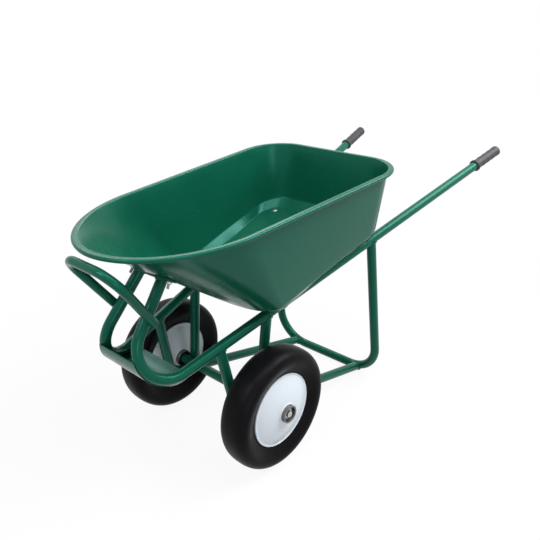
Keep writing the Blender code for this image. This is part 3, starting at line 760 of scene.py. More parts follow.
@dataclass(frozen=True)
class Layout:
    """The sizes that more than one sub-assembly takes its place from.

    Attributes:
        axle_height: height of the axle.
        half_track: distance of each wheel's middle plane from the barrow's.
        gap: the clearance between pieces that touch.
        saddle: how far one tube sinks into another that it is welded along.
        sheet: thickness of the tub.
        handle_end: the left rail's end inside its grip.
        nose_corner: where the left rail's straight run would meet its riser without the bend.
        rim_fall: how far the rim falls for each metre forward.
    """

    axle_height: float
    half_track: float
    tube_radius: float = 0.0159
    tube_wall: float = 0.0025
    gap: float = 0.0003
    saddle: float = 0.0015
    sheet: float = 0.0020
    strap_thickness: float = 0.005
    handle_end: Place = (-1.2226, 0.3154, 0.7725)
    nose_corner: Place = (0.4895, 0.0858, 0.3016)
    nose_bend_radius: float = 0.0912
    riser_top_x: float = 0.2351
    riser_top_y: float = 0.0481
    floor_front_x: float = -0.0223
    rim_height: float = 0.7753
    rim_fall: float = 0.0849
    rim_nose_x: float = 0.4132
    cradle_y: float = 0.1523
    stand_foot_x: float = -0.592

    @property
    def floor_top(self) -> float:
        """Height of the tub's inner floor above the plane of the rails."""
        return self.tube_radius + self.strap_thickness + self.sheet + 2 * self.gap

    @property
    def deck_normal(self) -> Vector:
        """Direction square to the plane of the two rails."""
        slope = math.atan2(self.handle_end[2] - self.nose_corner[2], self.nose_corner[0] - self.handle_end[0])
        return Vector((math.sin(slope), 0, math.cos(slope)))

    @property
    def ramp_foot(self) -> Vector:
        """Where the tub's sloping front starts from its floor."""
        return self.deck_point(self.floor_front_x, 0, self.floor_top)

    @property
    def ramp_along(self) -> Vector:
        """Direction up the tub's sloping front."""
        return (self.rim_centre(self.rim_nose_x, 0) - self.ramp_foot).normalized()

    @property
    def ramp_normal(self) -> Vector:
        """Direction square to the tub's sloping front, into the tub."""
        along = self.ramp_along
        return Vector((-along.z, 0, along.x))

    def rail_point(self, x: float, side: Side = Side.LEFT) -> Vector:
        """A point on the straight run of a rail's centre line.

        Args:
            x: the point's x.
            side: the side that it is on.

        Returns:
            The point.
        """
        nose, handle = Vector(self.nose_corner), Vector(self.handle_end)
        place = nose.lerp(handle, (nose.x - x) / (nose.x - handle.x))
        return Vector((place.x, side * place.y, place.z))

    def deck_point(self, x: float, y: float, lift: float) -> Vector:
        """A point above the plane of the two rails, by its foot's x, its y and its height."""
        foot = self.rail_point(x)
        return Vector((foot.x, y, foot.z)) + self.deck_normal * lift

    def rim_centre(self, x: float, y: float) -> Vector:
        """A point on the middle of the tub's rolled bead."""
        return Vector((x, y, self.rim_height - self.rim_fall * x))

    def ramp_point(self, x: float, y: float, lift: float) -> Vector:
        """A point above the tub's sloping front, by its foot's x, its y and its height."""
        foot = self.ramp_foot + self.ramp_along * ((x - self.ramp_foot.x) / self.ramp_along.x)
        return Vector((foot.x, y, foot.z)) + self.ramp_normal * lift

    def rail_corners(self, side: Side) -> Ring:
        """The handle's end, the nose's sharp corner and the riser's top on one side.

        Args:
            side: the side that it is on.

        Returns:
            The three points.
        """
        lift = -(self.sheet + self.strap_thickness + 2 * self.gap)
        nose = Vector((self.nose_corner[0], side * self.nose_corner[1], self.nose_corner[2]))
        top = self.ramp_point(self.riser_top_x, side * self.riser_top_y, lift)
        return [self.rail_point(self.handle_end[0], side), nose, top]

    def rail_path(self, side: Side, steps: int = 28) -> Ring:
        """The centre line of a rail and its riser."""
        return bent_path(self.rail_corners(side), self.nose_bend_radius, steps)

    def riser_point(self, height: float, side: Side) -> Vector:
        """A point on a riser's centre line at a height."""
        _, nose, top = self.rail_corners(side)
        return nose.lerp(top, (height - nose.z) / (top.z - nose.z))


class Workbench:
    """Makes pieces from drafts, and finishes and hangs them on the frame's bodies."""

    def __init__(self, layout: Layout, shift: Vector) -> None:
        """Makes the finishes.

        Args:
            layout: the shared sizes.
            shift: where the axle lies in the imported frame.
        """
        self.layout = layout
        self.shift = shift
        effects = Effects()
        self.coats = {recipe.finish: recipe.build(effects) for recipe in FINISHES}

    def piece(
        self,
        name: str,
        draft: Draft,
        finish: Finish,
        nodes: Sequence[str] = (),
        body: str = "frame",
        bevel: float = 0.0,
        sharp: float = 38.0,
    ) -> bpy.types.Object:
        """Makes a piece and hangs it on its body.

        Args:
            name: the piece's name.
            draft: its points and faces.
            finish: its finish.
            nodes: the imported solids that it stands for.
            body: the body that it rides on.
            bevel: width of a rounding along its sharp edges, or 0 for none.
            sharp: the angle, in degrees, from which an edge stays sharp.

        Returns:
            The piece.
        """
        mesh = draft.mesh(name, self.shift)
        mesh.materials.append(self.coats[finish])
        mesh.shade_smooth()
        mesh.set_sharp_from_angle(angle=math.radians(sharp))
        made = add_object(name, mesh)
        if bevel:
            rounding = made.modifiers.new("rounding", "BEVEL")
            rounding.width = bevel
            rounding.segments = 3
            rounding.limit_method = "ANGLE"
            rounding.angle_limit = math.radians(40)
            rounding.harden_normals = True
        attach(made, body)
        if nodes:
            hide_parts(*nodes)
        log.info("%s: %d faces on %s", name, len(mesh.polygons), body)
        return made


@dataclass(frozen=True)
class Weld:
    """A run of weld with the ripples of its puddles.

    Attributes:
        radius: half the bead's width.
        ripple: how much each puddle stands out, as a share of the radius.
        pitch: length of a puddle.
        chords: chords along each puddle.
        sides: points round the bead.
        taper: the radius at a free end, as a share of the full one.
        standoff: how far the bead lies outside the edge that it runs round, as a share of the radius.
    """

    radius: float = 0.0027
    ripple: float = 0.13
    pitch: float = 0.0034
    chords: int = 4
    sides: int = 9
    taper: float = 0.35
    standoff: float = 0.3

    def run(self, draft: Draft, line: Ring, closed: bool = False) -> None:
        """Lays a bead along a line.

        Args:
            draft: the draft that it goes into.
            line: the line's points.
            closed: whether it returns to its start.
        """
        places = line + line[:1] if closed else line
        length = sum((b - a).length for a, b in zip(places, places[1:]))
        puddles = round(length / self.pitch)
        path = spline(line, math.ceil(self.chords * max(puddles, 2) / len(line)), closed)
        waves = puddles / len(path)
        radii = [self.radius * (1 + self.ripple * math.sin(math.tau * waves * i)) for i in range(len(path))]
        if not closed:
            radii[0] *= self.taper
            radii[-1] *= self.taper
        draft.loft(sweep(path, radii, self.sides, closed), loop=closed, caps=(not closed, not closed))

    def round_end(self, draft: Draft, ring: Ring) -> None:
        """Lays a bead round the fitted end of a tube.

        Args:
            draft: the draft that it goes into.
            ring: the points of the tube's end.
        """
        middle = sum(ring, Vector()) / len(ring)
        line = [place + (place - middle).normalized() * self.radius * self.standoff for place in ring]
        self.run(draft, line, closed=True)


@dataclass(frozen=True)
class Tube:
    """A bent round tube.

    Attributes:
        path: its centre line.
        radius: its outer radius.
        wall: its wall.
        start: what its first end is cut to fit, if anything.
        end: what its last end is cut to fit, if anything.
        sides: points round it.
        mouth: how deep an open end is hollow, in radii.
    """

    path: Ring
    radius: float
    wall: float
    start: Seat | None = None
    end: Seat | None = None
    sides: int = 40
    mouth: float = 2.5

    def draw(self, draft: Draft) -> list[Ring]:
        """Adds the tube to a draft, with a hollow mouth at each end that isn't cut to a seat.

        Args:
            draft: the draft that it goes into.

        Returns:
            The tube's outer rings.
        """
        outer = sweep(self.path, [self.radius] * len(self.path), self.sides)
        inner = (self.radius - self.wall) / self.radius
        mouths = []
        for seat, end, before in ((self.start, 0, 1), (self.end, -1, -2)):
            if seat:
                rays = [(base, (place - base).normalized()) for place, base in zip(outer[end], outer[before])]
                outer[end] = [base + along * seat.reach(base, along) for base, along in rays]
                mouths.append([])
                continue
            place = self.path[end]
            inward = (self.path[before] - place).normalized()
            edge = [place + (point - place) * inner for point in outer[end]]
            mouths.append([edge, [point + inward * self.mouth * self.radius for point in edge]])
        draft.loft(mouths[0][::-1] + outer + mouths[1], caps=(True, True))
        return outer


# Sub-assemblies


@dataclass(frozen=True)
class Assembly:
    """What every sub-assembly has.

    Attributes:
        bench: the workbench that makes its pieces.
    """

    bench: Workbench

    @property
    def layout(self) -> Layout:
        """The sizes that it shares with the others."""
        return self.bench.layout


@dataclass(frozen=True)
class NoseFace:
    """The inner face of the tub's nose where the risers meet it.

    Attributes:
        layout: the shared sizes.
        faces: the tub's inner face.
        below: how far under the slope the face is looked for.
    """

    layout: Layout
    faces: BVHTree
    below: float = 0.05

    def at(self, y: float, along: float = 0.0, depth: float = 0.0) -> Vector:
        """A point on the face, or below it.

        Args:
            y: the point's y.
            along: how far up the slope it lies from the risers' tops.
            depth: how far it lies under the face.

        Returns:
            The point.
        """
        lay = self.layout
        start = lay.ramp_point(lay.riser_top_x, y, -self.below) + lay.ramp_along * along
        place, normal, _, _ = self.faces.ray_cast(start, lay.ramp_normal)
        return place - normal * math.copysign(depth, normal.dot(lay.ramp_normal))

    def normal(self, y: float, reach: float) -> Vector:
        """The direction into the tub at a place, over a reach to both sides."""
        across = self.at(y + reach) - self.at(y - reach)
        return self.layout.ramp_along.cross(across).normalized()


@dataclass(frozen=True)
class Tub(Assembly):
    """The pressed tub, with a filleted foot, flared walls and a rim that is turned out and rolled.

    Each outline runs in plan round straight sides and rounded rear corners to an oval nose.

    Attributes:
        floor_rear_overhang: how far the floor's edge stands outside the rails at the rear.
        floor_shoulder_overhang: how far it stands outside them where the nose starts.
        floor_nose_power: fullness of the floor's nose, where 2 is an ellipse.
        fillet_reach: width of the slanting band between floor and wall.
        fillet_edge_radius: radius of the band's two edges.
        rim_nose_power: fullness of the rim's nose.
        bead_radius: radius of the rolled bead's inner face.
        bead_turn: how far the sheet is rolled.
        lip_reach: width of the flat lip between wall and bead.
        rear_chords: chords in half of an outline's rear, as the next ones are in its other stretches.
        fillet_chords: chords in each of the band's edges, as the next ones are further up the wall.
    """

    floor_rear_x: float = -0.549
    floor_rear_overhang: float = 0.0246
    floor_shoulder_x: float = -0.0743
    floor_shoulder_overhang: float = 0.0599
    floor_nose_power: float = 2.55
    floor_corner_radius: float = 0.0863
    fillet_reach: float = 0.026
    fillet_edge_radius: float = 0.012
    rim_rear_x: float = -0.5863
    rim_rear_half_width: float = 0.2951
    rim_shoulder_x: float = 0.0942
    rim_shoulder_half_width: float = 0.2689
    rim_nose_power: float = 1.95
    rim_corner_radius: float = 0.1356
    bead_radius: float = 0.0062
    bead_turn: float = math.radians(225)
    lip_reach: float = 0.0120
    lip_bend_radius: float = 0.005
    rear_chords: int = 12
    corner_chords: int = 30
    side_chords: int = 24
    nose_chords: int = 66
    fillet_chords: int = 4
    wall_chords: int = 8
    bend_chords: int = 6
    curl_chords: int = 18

    def _half_outline(self, rear: Pair, corner: float, shoulder: Pair, nose_x: float, power: float) -> list[Pair]:
        """Half of an outline in plan, from the middle of the rear to the middle of the nose.

        Args:
            rear: x and half width of the rear.
            corner: radius of the rear corners.
            shoulder: x and half width where the nose starts.
            nose_x: x of the nose.
            power: fullness of the nose.

        Returns:
            The outline's (x, y) points.
        """
        start, sharp = Vector((rear[0], 0, 0)), Vector((*rear, 0))
        front = Vector((*shoulder, 0))
        arc = corner_arc(start, sharp, front, corner, self.corner_chords)
        points = [start.lerp(arc[0], step / self.rear_chords) for step in range(self.rear_chords)] + arc
        points += [arc[-1].lerp(front, step / self.side_chords) for step in range(1, self.side_chords)]
        nose = []
        for step in range(self.nose_chords + 1):
            turn = math.pi / 2 * step / self.nose_chords
            reach = math.sin(turn) ** (2 / power)
            half = max(math.cos(turn), 0.0) ** (2 / power)
            nose.append((front.x + (nose_x - front.x) * reach, front.y * half))
        nose[-1] = (nose_x, 0.0)
        return [(point.x, point.y) for point in points] + nose

    def _outlines(self) -> tuple[list[Pair], list[Pair]]:
        """The whole outlines of the floor and of the rim, as (x, y) points that match one to one.

        Returns:
            The floor's outline and the rim's.
        """
        lay = self.layout
        rear = (self.floor_rear_x, lay.rail_point(self.floor_rear_x).y + self.floor_rear_overhang)
        shoulder = (self.floor_shoulder_x, lay.rail_point(self.floor_shoulder_x).y + self.floor_shoulder_overhang)
        rim_rear = (self.rim_rear_x, self.rim_rear_half_width)
        rim_shoulder = (self.rim_shoulder_x, self.rim_shoulder_half_width)
        halves = (
            self._half_outline(rear, self.floor_corner_radius, shoulder, lay.floor_front_x, self.floor_nose_power),
            self._half_outline(rim_rear, self.rim_corner_radius, rim_shoulder, lay.rim_nose_x, self.rim_nose_power),
        )
        floor, rim = (half + [(x, -y) for x, y in reversed(half[1:-1])] for half in halves)
        return floor, rim

    def _column(self, foot_at: Pair, rim_at: Pair, outward: Vector) -> Ring:
        """The inner face's points at one place round the tub, from the floor up and over the bead.

        Args:
            foot_at: the floor's (x, y) there.
            rim_at: the rim's (x, y) there.
            outward: direction out of the rim there.

        Returns:
            The points.
        """
        lay = self.layout
        foot = lay.deck_point(*foot_at, lay.floor_top)
        bead = lay.rim_centre(*rim_at)
        lip = bead + self.bead_radius * Z
        shoulder = lip - self.lip_reach * outward
        wall = (shoulder - foot).normalized()
        inward = (lay.deck_normal * wall.dot(lay.deck_normal) - wall).normalized()
        low, high = foot + inward * self.fillet_reach, foot + wall * self.fillet_reach
        fillet = corner_arc(foot + inward, low, high, self.fillet_edge_radius, self.fillet_chords)
        fillet += corner_arc(low, high, shoulder, self.fillet_edge_radius, self.fillet_chords)
        bend = corner_arc(foot, shoulder, lip, self.lip_bend_radius, self.bend_chords)
        rise = [fillet[-1].lerp(bend[0], step / self.wall_chords) for step in range(1, self.wall_chords)]
        turns = (self.bead_turn * step / self.curl_chords for step in range(self.curl_chords + 1))
        curl = [bead + self.bead_radius * (math.cos(turn) * Z + math.sin(turn) * outward) for turn in turns]
        return fillet + rise + bend + curl

    def _columns(self) -> list[Ring]:
        """The inner face, as one column of points for each place round the tub.

        Returns:
            The columns.
        """
        floor, rim = self._outlines()
        columns = []
        for i, (foot_at, rim_at) in enumerate(zip(floor, rim)):
            before, after = Vector(rim[i - 1]), Vector(rim[(i + 1) % len(rim)])
            along = (after - before).normalized()
            outward = Vector((-along.y, along.x, 0)) if i else -X
            columns.append(self._column(foot_at, rim_at, outward))
        return columns

    def nose_face(self) -> NoseFace:
        """The inner face, to set other pieces against."""
        draft = Draft().loft(self._columns(), wrap=False, loop=True)
        return NoseFace(self.layout, BVHTree.FromPolygons(draft.points, draft.faces))

    def build(self) -> None:
        """Makes the tub's shell."""
        columns = self._columns()
        draft = Draft().loft(columns, wrap=False, loop=True)
        draft.faces.append(tuple(i * len(columns[0]) for i in range(len(columns))))
        shell = self.bench.piece("tub_shell", draft, Finish.GREEN, ["tub"])
        floor_face = max(shell.data.polygons, key=lambda face: len(face.vertices))
        if floor_face.normal.z < 0:
            shell.data.flip_normals()
        skin = shell.modifiers.new("sheet", "SOLIDIFY")
        skin.thickness = self.layout.sheet
        skin.offset = -1
        skin.use_even_offset = True


@dataclass(frozen=True)
class TubeFrame(Assembly):
    """The rails, the nose hoop, the cradle with its struts, and the stand, with their welds.

    Attributes:
        nose: the tub's face above the risers.
        weld: the beads that join the tubes.
    """

    nose: NoseFace
    weld: Weld = Weld()
    bend_chords: int = 20
    hoop_radius: float = 0.0127
    hoop_wall: float = 0.0020
    hoop_sides: int = 36
    hoop_bar: Place = (0.4240, 0.1125, 0.7115)
    hoop_bend_radius: float = 0.062
    hoop_foot_height: float = 0.541
    hoop_lap: float = 0.006
    hoop_bead_step: float = 0.002
    hoop_bead_places: range = range(-2, 3)
    hoop_bead_offset: float = 0.55
    cradle_top_x: float = 0.1197
    cradle_corner_x: float = 0.0750
    cradle_bend_radius: float = 0.060
    cradle_foot_rise: float = 0.003
    cradle_foot_y: float = 0.149
    strut_top_x: float = -0.0553
    strut_foot_x: float = -0.0290
    stand_top_x: float = -0.5083
    stand_half_width: float = 0.229
    stand_bend_radius: float = 0.115

    def _stand_path(self) -> Ring:
        """The centre line of the rear stand.

        Returns:
            Its points, from the left rail to the right one.
        """
        lay = self.layout
        top = lay.rail_point(self.stand_top_x)
        foot = Vector((lay.stand_foot_x, self.stand_half_width, lay.tube_radius))
        flip = Matrix.Diagonal((1, -1, 1))
        return bent_path([top, foot, flip @ foot, flip @ top], self.stand_bend_radius, self.bend_chords)

    def _cradle_corners(self, side: Side) -> Ring:
        """The top, the bend and the foot of one cradle, which passes just under the axle tube.

        Args:
            side: the side that it is on.

        Returns:
            The three points.
        """
        lay = self.layout
        foot = Vector((lay.stand_foot_x, side * self.cradle_foot_y, lay.tube_radius + self.cradle_foot_rise))
        drop = 2 * lay.tube_radius - lay.saddle
        fall = math.asin(drop / math.hypot(foot.x, lay.axle_height - foot.z))
        slope = math.tan(math.atan2(lay.axle_height - foot.z, -foot.x) - fall)
        height = foot.z + (self.cradle_corner_x - foot.x) * slope
        corner = Vector((self.cradle_corner_x, side * lay.cradle_y, height))
        return [lay.rail_point(self.cradle_top_x, side), corner, foot]

    def _rail_seat(self, x: float, side: Side) -> RoundSeat:
        """The stretch of a rail on which another tube ends."""
        lay = self.layout
        return RoundSeat.near(lay.rail_path(side), lay.rail_point(x, side), lay.tube_radius)

    def _weld_up(self, node: str, tube: Tube, beads: Draft) -> None:
        """Makes a tube, with a bead round each end that is cut to a seat.

        Args:
            node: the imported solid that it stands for.
            tube: the tube.
            beads: the draft that the beads go into.
        """
        draft = Draft()
        rings = tube.draw(draft)
        for seat, ring in ((tube.start, rings[0]), (tube.end, rings[-1])):
            if seat:
                self.weld.round_end(beads, ring)
        self.bench.piece(f"{node}_tube", draft, Finish.GREEN, [node])

    def _rails(self) -> None:
        """Makes each rail with its riser."""
        lay = self.layout
        depth = lay.sheet + lay.strap_thickness + 2 * lay.gap
        for side in Side:
            y = side * lay.riser_top_y
            under = FlatSeat(self.nose.at(y, depth=depth), self.nose.normal(y, lay.tube_radius))
            beads = Draft()
            rail = Tube(lay.rail_path(side), lay.tube_radius, lay.tube_wall, end=under)
            self._weld_up(f"{side.word}_rail", rail, beads)
            self.bench.piece(f"{side.word}_riser_weld", beads, Finish.GREEN)

    def _hoop(self) -> None:
        """Makes the nose hoop, lapped on to the outside of both risers."""
        lay = self.layout
        feet, bends, beads = [], [], Draft()
        for side in Side:
            place = lay.riser_point(self.hoop_foot_height, side)
            foot = place + side * Y * (lay.tube_radius + self.hoop_radius - lay.saddle)
            bend = Vector((self.hoop_bar[0], side * self.hoop_bar[1], self.hoop_bar[2]))
            foot += (foot - bend).normalized() * self.hoop_lap
            _, nose, top = lay.rail_corners(side)
            leg, riser = (bend - foot).normalized(), (top - nose).normalized()
            for sign in (-1, 1):
                out = riser.cross(Y).normalized() * sign
                middle = (place + foot) / 2 + out * self.hoop_radius * self.hoop_bead_offset
                line = [middle + (leg + riser) * self.hoop_bead_step * step for step in self.hoop_bead_places]
                self.weld.run(beads, line)
            feet.append(foot)
            bends.append(bend)
        path = bent_path([feet[0], *bends, feet[1]], self.hoop_bend_radius, self.bend_chords)
        self._weld_up("nose_hoop", Tube(path, self.hoop_radius, self.hoop_wall, sides=self.hoop_sides), beads)
        self.bench.piece("nose_hoop_welds", beads, Finish.GREEN)

    def _stand(self) -> None:
        """Makes the rear stand."""
        lay = self.layout
        beads = Draft()
        seats = [self._rail_seat(self.stand_top_x, side) for side in Side]
        self._weld_up("rear_stand", Tube(self._stand_path(), lay.tube_radius, lay.tube_wall, *seats), beads)
        self.bench.piece("rear_stand_welds", beads, Finish.GREEN)

    def _cradles(self) -> None:
        """Makes the cradles and the struts behind the axle."""
        lay = self.layout
        for side in Side:
            rail = self._rail_seat(self.cradle_top_x, side)
            corners = self._cradle_corners(side)
            path = bent_path(corners, self.cradle_bend_radius, self.bend_chords)
            stand = RoundSeat.near(self._stand_path(), corners[2], lay.tube_radius)
            top = lay.rail_point(self.strut_top_x, side)
            foot = corners[1].lerp(corners[2], (self.strut_foot_x - corners[1].x) / (corners[2].x - corners[1].x))
            cradle = RoundSeat.near(path, foot, lay.tube_radius)
            beads = Draft()
            for name, line, end in (("cradle", path, stand), ("rear_strut", [top, top.lerp(foot, 0.5), foot], cradle)):
                tube = Tube(line, lay.tube_radius, lay.tube_wall, rail, end)
                self._weld_up(f"{side.word}_{name}", tube, beads)
            self.bench.piece(f"{side.word}_cradle_welds", beads, Finish.GREEN)

    def build(self) -> None:
        """Makes every tube of the frame."""
        self._rails()
        self._hoop()
        self._stand()
        self._cradles()


@dataclass(frozen=True)
class NosePlate(Assembly):
    """The sheet that is bent round the front and the underside of both nose bends.

    Attributes:
        thickness: its thickness.
        rear_x: where it starts under the rails.
        edge: how far it reaches past the rails' centre lines.
        bend_share: the part of the bend that it covers.
        steps: chords in the bend.
    """

    thickness: float = 0.003
    rear_x: float = 0.224
    edge: float = 0.0015
    bend_share: float = 0.7
    steps: int = 30

    def build(self) -> None:
        """Makes the plate as a closed strip."""
        lay = self.layout
        arc = lay.rail_path(Side.LEFT, self.steps)[1 : 2 + round(self.bend_share * self.steps)]
        line = [lay.rail_point(self.rear_x)] + arc
        rings = []
        for i, place in enumerate(line):
            along = line[min(i + 1, len(line) - 1)] - line[max(i - 1, 0)]
            out = Y.cross(along).normalized()
            inner = place + out * (lay.tube_radius + lay.gap)
            half = place.y + self.edge
            outer = inner + out * self.thickness
            rings.append([Vector((p.x, s * half, p.z)) for p, s in ((inner, -1), (inner, 1), (outer, 1), (outer, -1))])
        draft = Draft().loft(rings, caps=(True, True))
        self.bench.piece("nose_plate_sheet", draft, Finish.GREEN, ["nose_plate"], bevel=0.0007)


@dataclass(frozen=True)
class TubFixings(Assembly):
    """The straps under the tub, and the bolts and nuts that hold it down."""

    nose: NoseFace
    strap_width: float = 0.036
    strap_overhang: float = 0.012
    strap_ease: float = 0.001
    rear_strap_x: float = -0.4966
    front_strap_x: float = -0.140
    nose_strap_half: float = 0.085
    nose_strap_steps: int = 40
    bolt_radius: float = 0.004
    bolt_sides: int = 28
    head_radius: float = 0.0105
    head_height: float = 0.0042
    bolt_inset: float = 0.0267
    nose_bolt_inset: float = 0.009
    spare: float = 0.003
    nose_spare: float = 0.014
    nut_across_flats: float = 0.013
    nut_height: float = 0.0065
    nut_chamfer: float = 0.93
    thread_pitch: float = 0.00125
    thread_depth: float = 0.0006
    tip_depth: float = 0.0008
    tip_run: float = 0.0005
    ease: float = 0.0006

    def _straps(self) -> None:
        """Makes the three flat bars."""
        lay = self.layout
        lift = lay.tube_radius + lay.gap + lay.strap_thickness / 2
        straps = {}
        for name, x in (("rear_strap", self.rear_strap_x), ("front_strap", self.front_strap_x)):
            placing = turned_to(lay.deck_point(x, 0, lift), X, lay.deck_normal)
            length = 2 * (lay.rail_point(x).y + self.strap_overhang)
            straps[name] = Draft().block(Vector((self.strap_width, length, lay.strap_thickness)), placing)
        top, half = lay.sheet + lay.gap, self.strap_width / 2
        corners = ((-half, top), (half, top), (half, top + lay.strap_thickness), (-half, top + lay.strap_thickness))
        steps = self.nose_strap_steps
        stations = [self.nose_strap_half * (step / (steps / 2) - 1) for step in range(steps + 1)]
        rings = [[self.nose.at(y, along, depth) for along, depth in corners] for y in stations]
        straps["nose_strap"] = Draft().loft(rings, caps=(True, True))
        for name, draft in straps.items():
            self.bench.piece(f"{name}_bar", draft, Finish.GREEN, [name], bevel=self.strap_ease)

    def _bolt(self, placing: Matrix, spare: float) -> tuple[Draft, Draft]:
        """A round-headed bolt with its thread, and its nut.

        Args:
            placing: the bolt's axis as z, from the tub's inner face.
            spare: how far the thread stands out of the nut.

        Returns:
            The bolt and the nut.
        """
        lay = self.layout
        nut_low = -(lay.sheet + lay.gap + lay.strap_thickness + lay.gap + self.nut_height)
        tip, height = nut_low - spare, nut_low + self.nut_height
        section = dome(self.head_radius, lay.gap + self.ease, self.head_height - self.ease)
        section += [(self.head_radius, lay.gap), (self.bolt_radius, lay.gap), (self.bolt_radius, height)]
        while height - self.thread_pitch > tip + self.tip_run:
            section.append((self.bolt_radius - self.thread_depth, height - self.thread_pitch / 2))
            height -= self.thread_pitch
            section.append((self.bolt_radius, height))
        section += [(self.bolt_radius - self.tip_depth, tip), (0.0, tip)]
        bolt = Draft().lathe(section, placing.translation, placing.to_3x3() @ Z, self.bolt_sides, closed=False)
        turns = [math.tau * k / 6 for k in range(6)]
        rings = []
        for level, share in (
            (0.0, self.nut_chamfer),
            (self.ease, 1.0),
            (self.nut_height - self.ease, 1.0),
            (self.nut_height, self.nut_chamfer),
        ):
            reach = self.nut_across_flats / math.sqrt(3) * share
            rings.append([placing @ Vector((reach * math.cos(t), reach * math.sin(t), nut_low + level)) for t in turns])
        return bolt, Draft().loft(rings, caps=(True, True))

    def build(self) -> None:
        """Makes the straps, and a bolt and a nut at each of the six places."""
        self._straps()
        lay = self.layout
        for side in Side:
            sites = []
            for place, x in (("rear", self.rear_strap_x), ("front", self.front_strap_x)):
                point = lay.deck_point(x, side * (lay.rail_point(x).y - self.bolt_inset), lay.floor_top)
                sites.append((place, turned_to(point, Y, lay.deck_normal), self.spare))
            y = side * (self.nose_strap_half - self.nose_bolt_inset)
            square = self.nose.normal(y, self.head_radius)
            sites.append(("nose", turned_to(self.nose.at(y), Y, square), self.nose_spare))
            for place, placing, spare in sites:
                bolt, nut = self._bolt(placing, spare)
                name = f"{side.word}_{place}"
                self.bench.piece(f"{name}_round_bolt", bolt, Finish.ZINC, [f"{name}_bolt"], sharp=30)
                self.bench.piece(f"{name}_hex_nut", nut, Finish.ZINC, [f"{name}_nut"], bevel=0.0003)


@dataclass(frozen=True)
class Grips(Assembly):
    """The ribbed sleeves on the handles."""

    length: float = 0.152
    radius: float = 0.0192
    lip_radius: float = 0.0222
    end_wall: float = 0.006
    ribs: int = 4
    rib_chords: int = 12
    rib_depth: float = 0.0011
    rib_start: float = 0.010
    rib_end: float = 0.020
    sides: int = 48

    def build(self) -> None:
        """Makes both grips."""
        lay = self.layout
        section = dome(self.radius, 0.0, self.end_wall)
        foot, steps = self.end_wall - self.length, self.ribs * self.rib_chords
        ribbed = self.length - (self.rib_start + self.rib_end)
        for step in range(1, steps + 1):
            share = step / steps
            dip = self.rib_depth * (0.5 - 0.5 * math.cos(math.tau * share * self.ribs)) ** 0.5
            section.append((self.radius - dip, -self.rib_start - share * ribbed))
        lip = [(-0.0008, 0.0085), (0.0, 0.0045), (-0.0006, 0.0008), (-0.0022, 0.0)]
        flare = [(self.radius, foot + 0.0120)] + [(self.lip_radius + out, foot + height) for out, height in lip]
        section += smooth_profile(flare, steps=3)
        bore = lay.tube_radius + lay.gap
        section += [(bore, foot), (bore, lay.gap), (0.0, lay.gap)]
        for side in Side:
            end = lay.rail_point(lay.handle_end[0], side)
            out = (end - lay.rail_point(lay.nose_corner[0], side)).normalized()
            draft = Draft().lathe(section, end, out, self.sides, closed=False)
            self.bench.piece(f"{side.word}_grip_sleeve", draft, Finish.GRIP, [f"{side.word}_grip"])


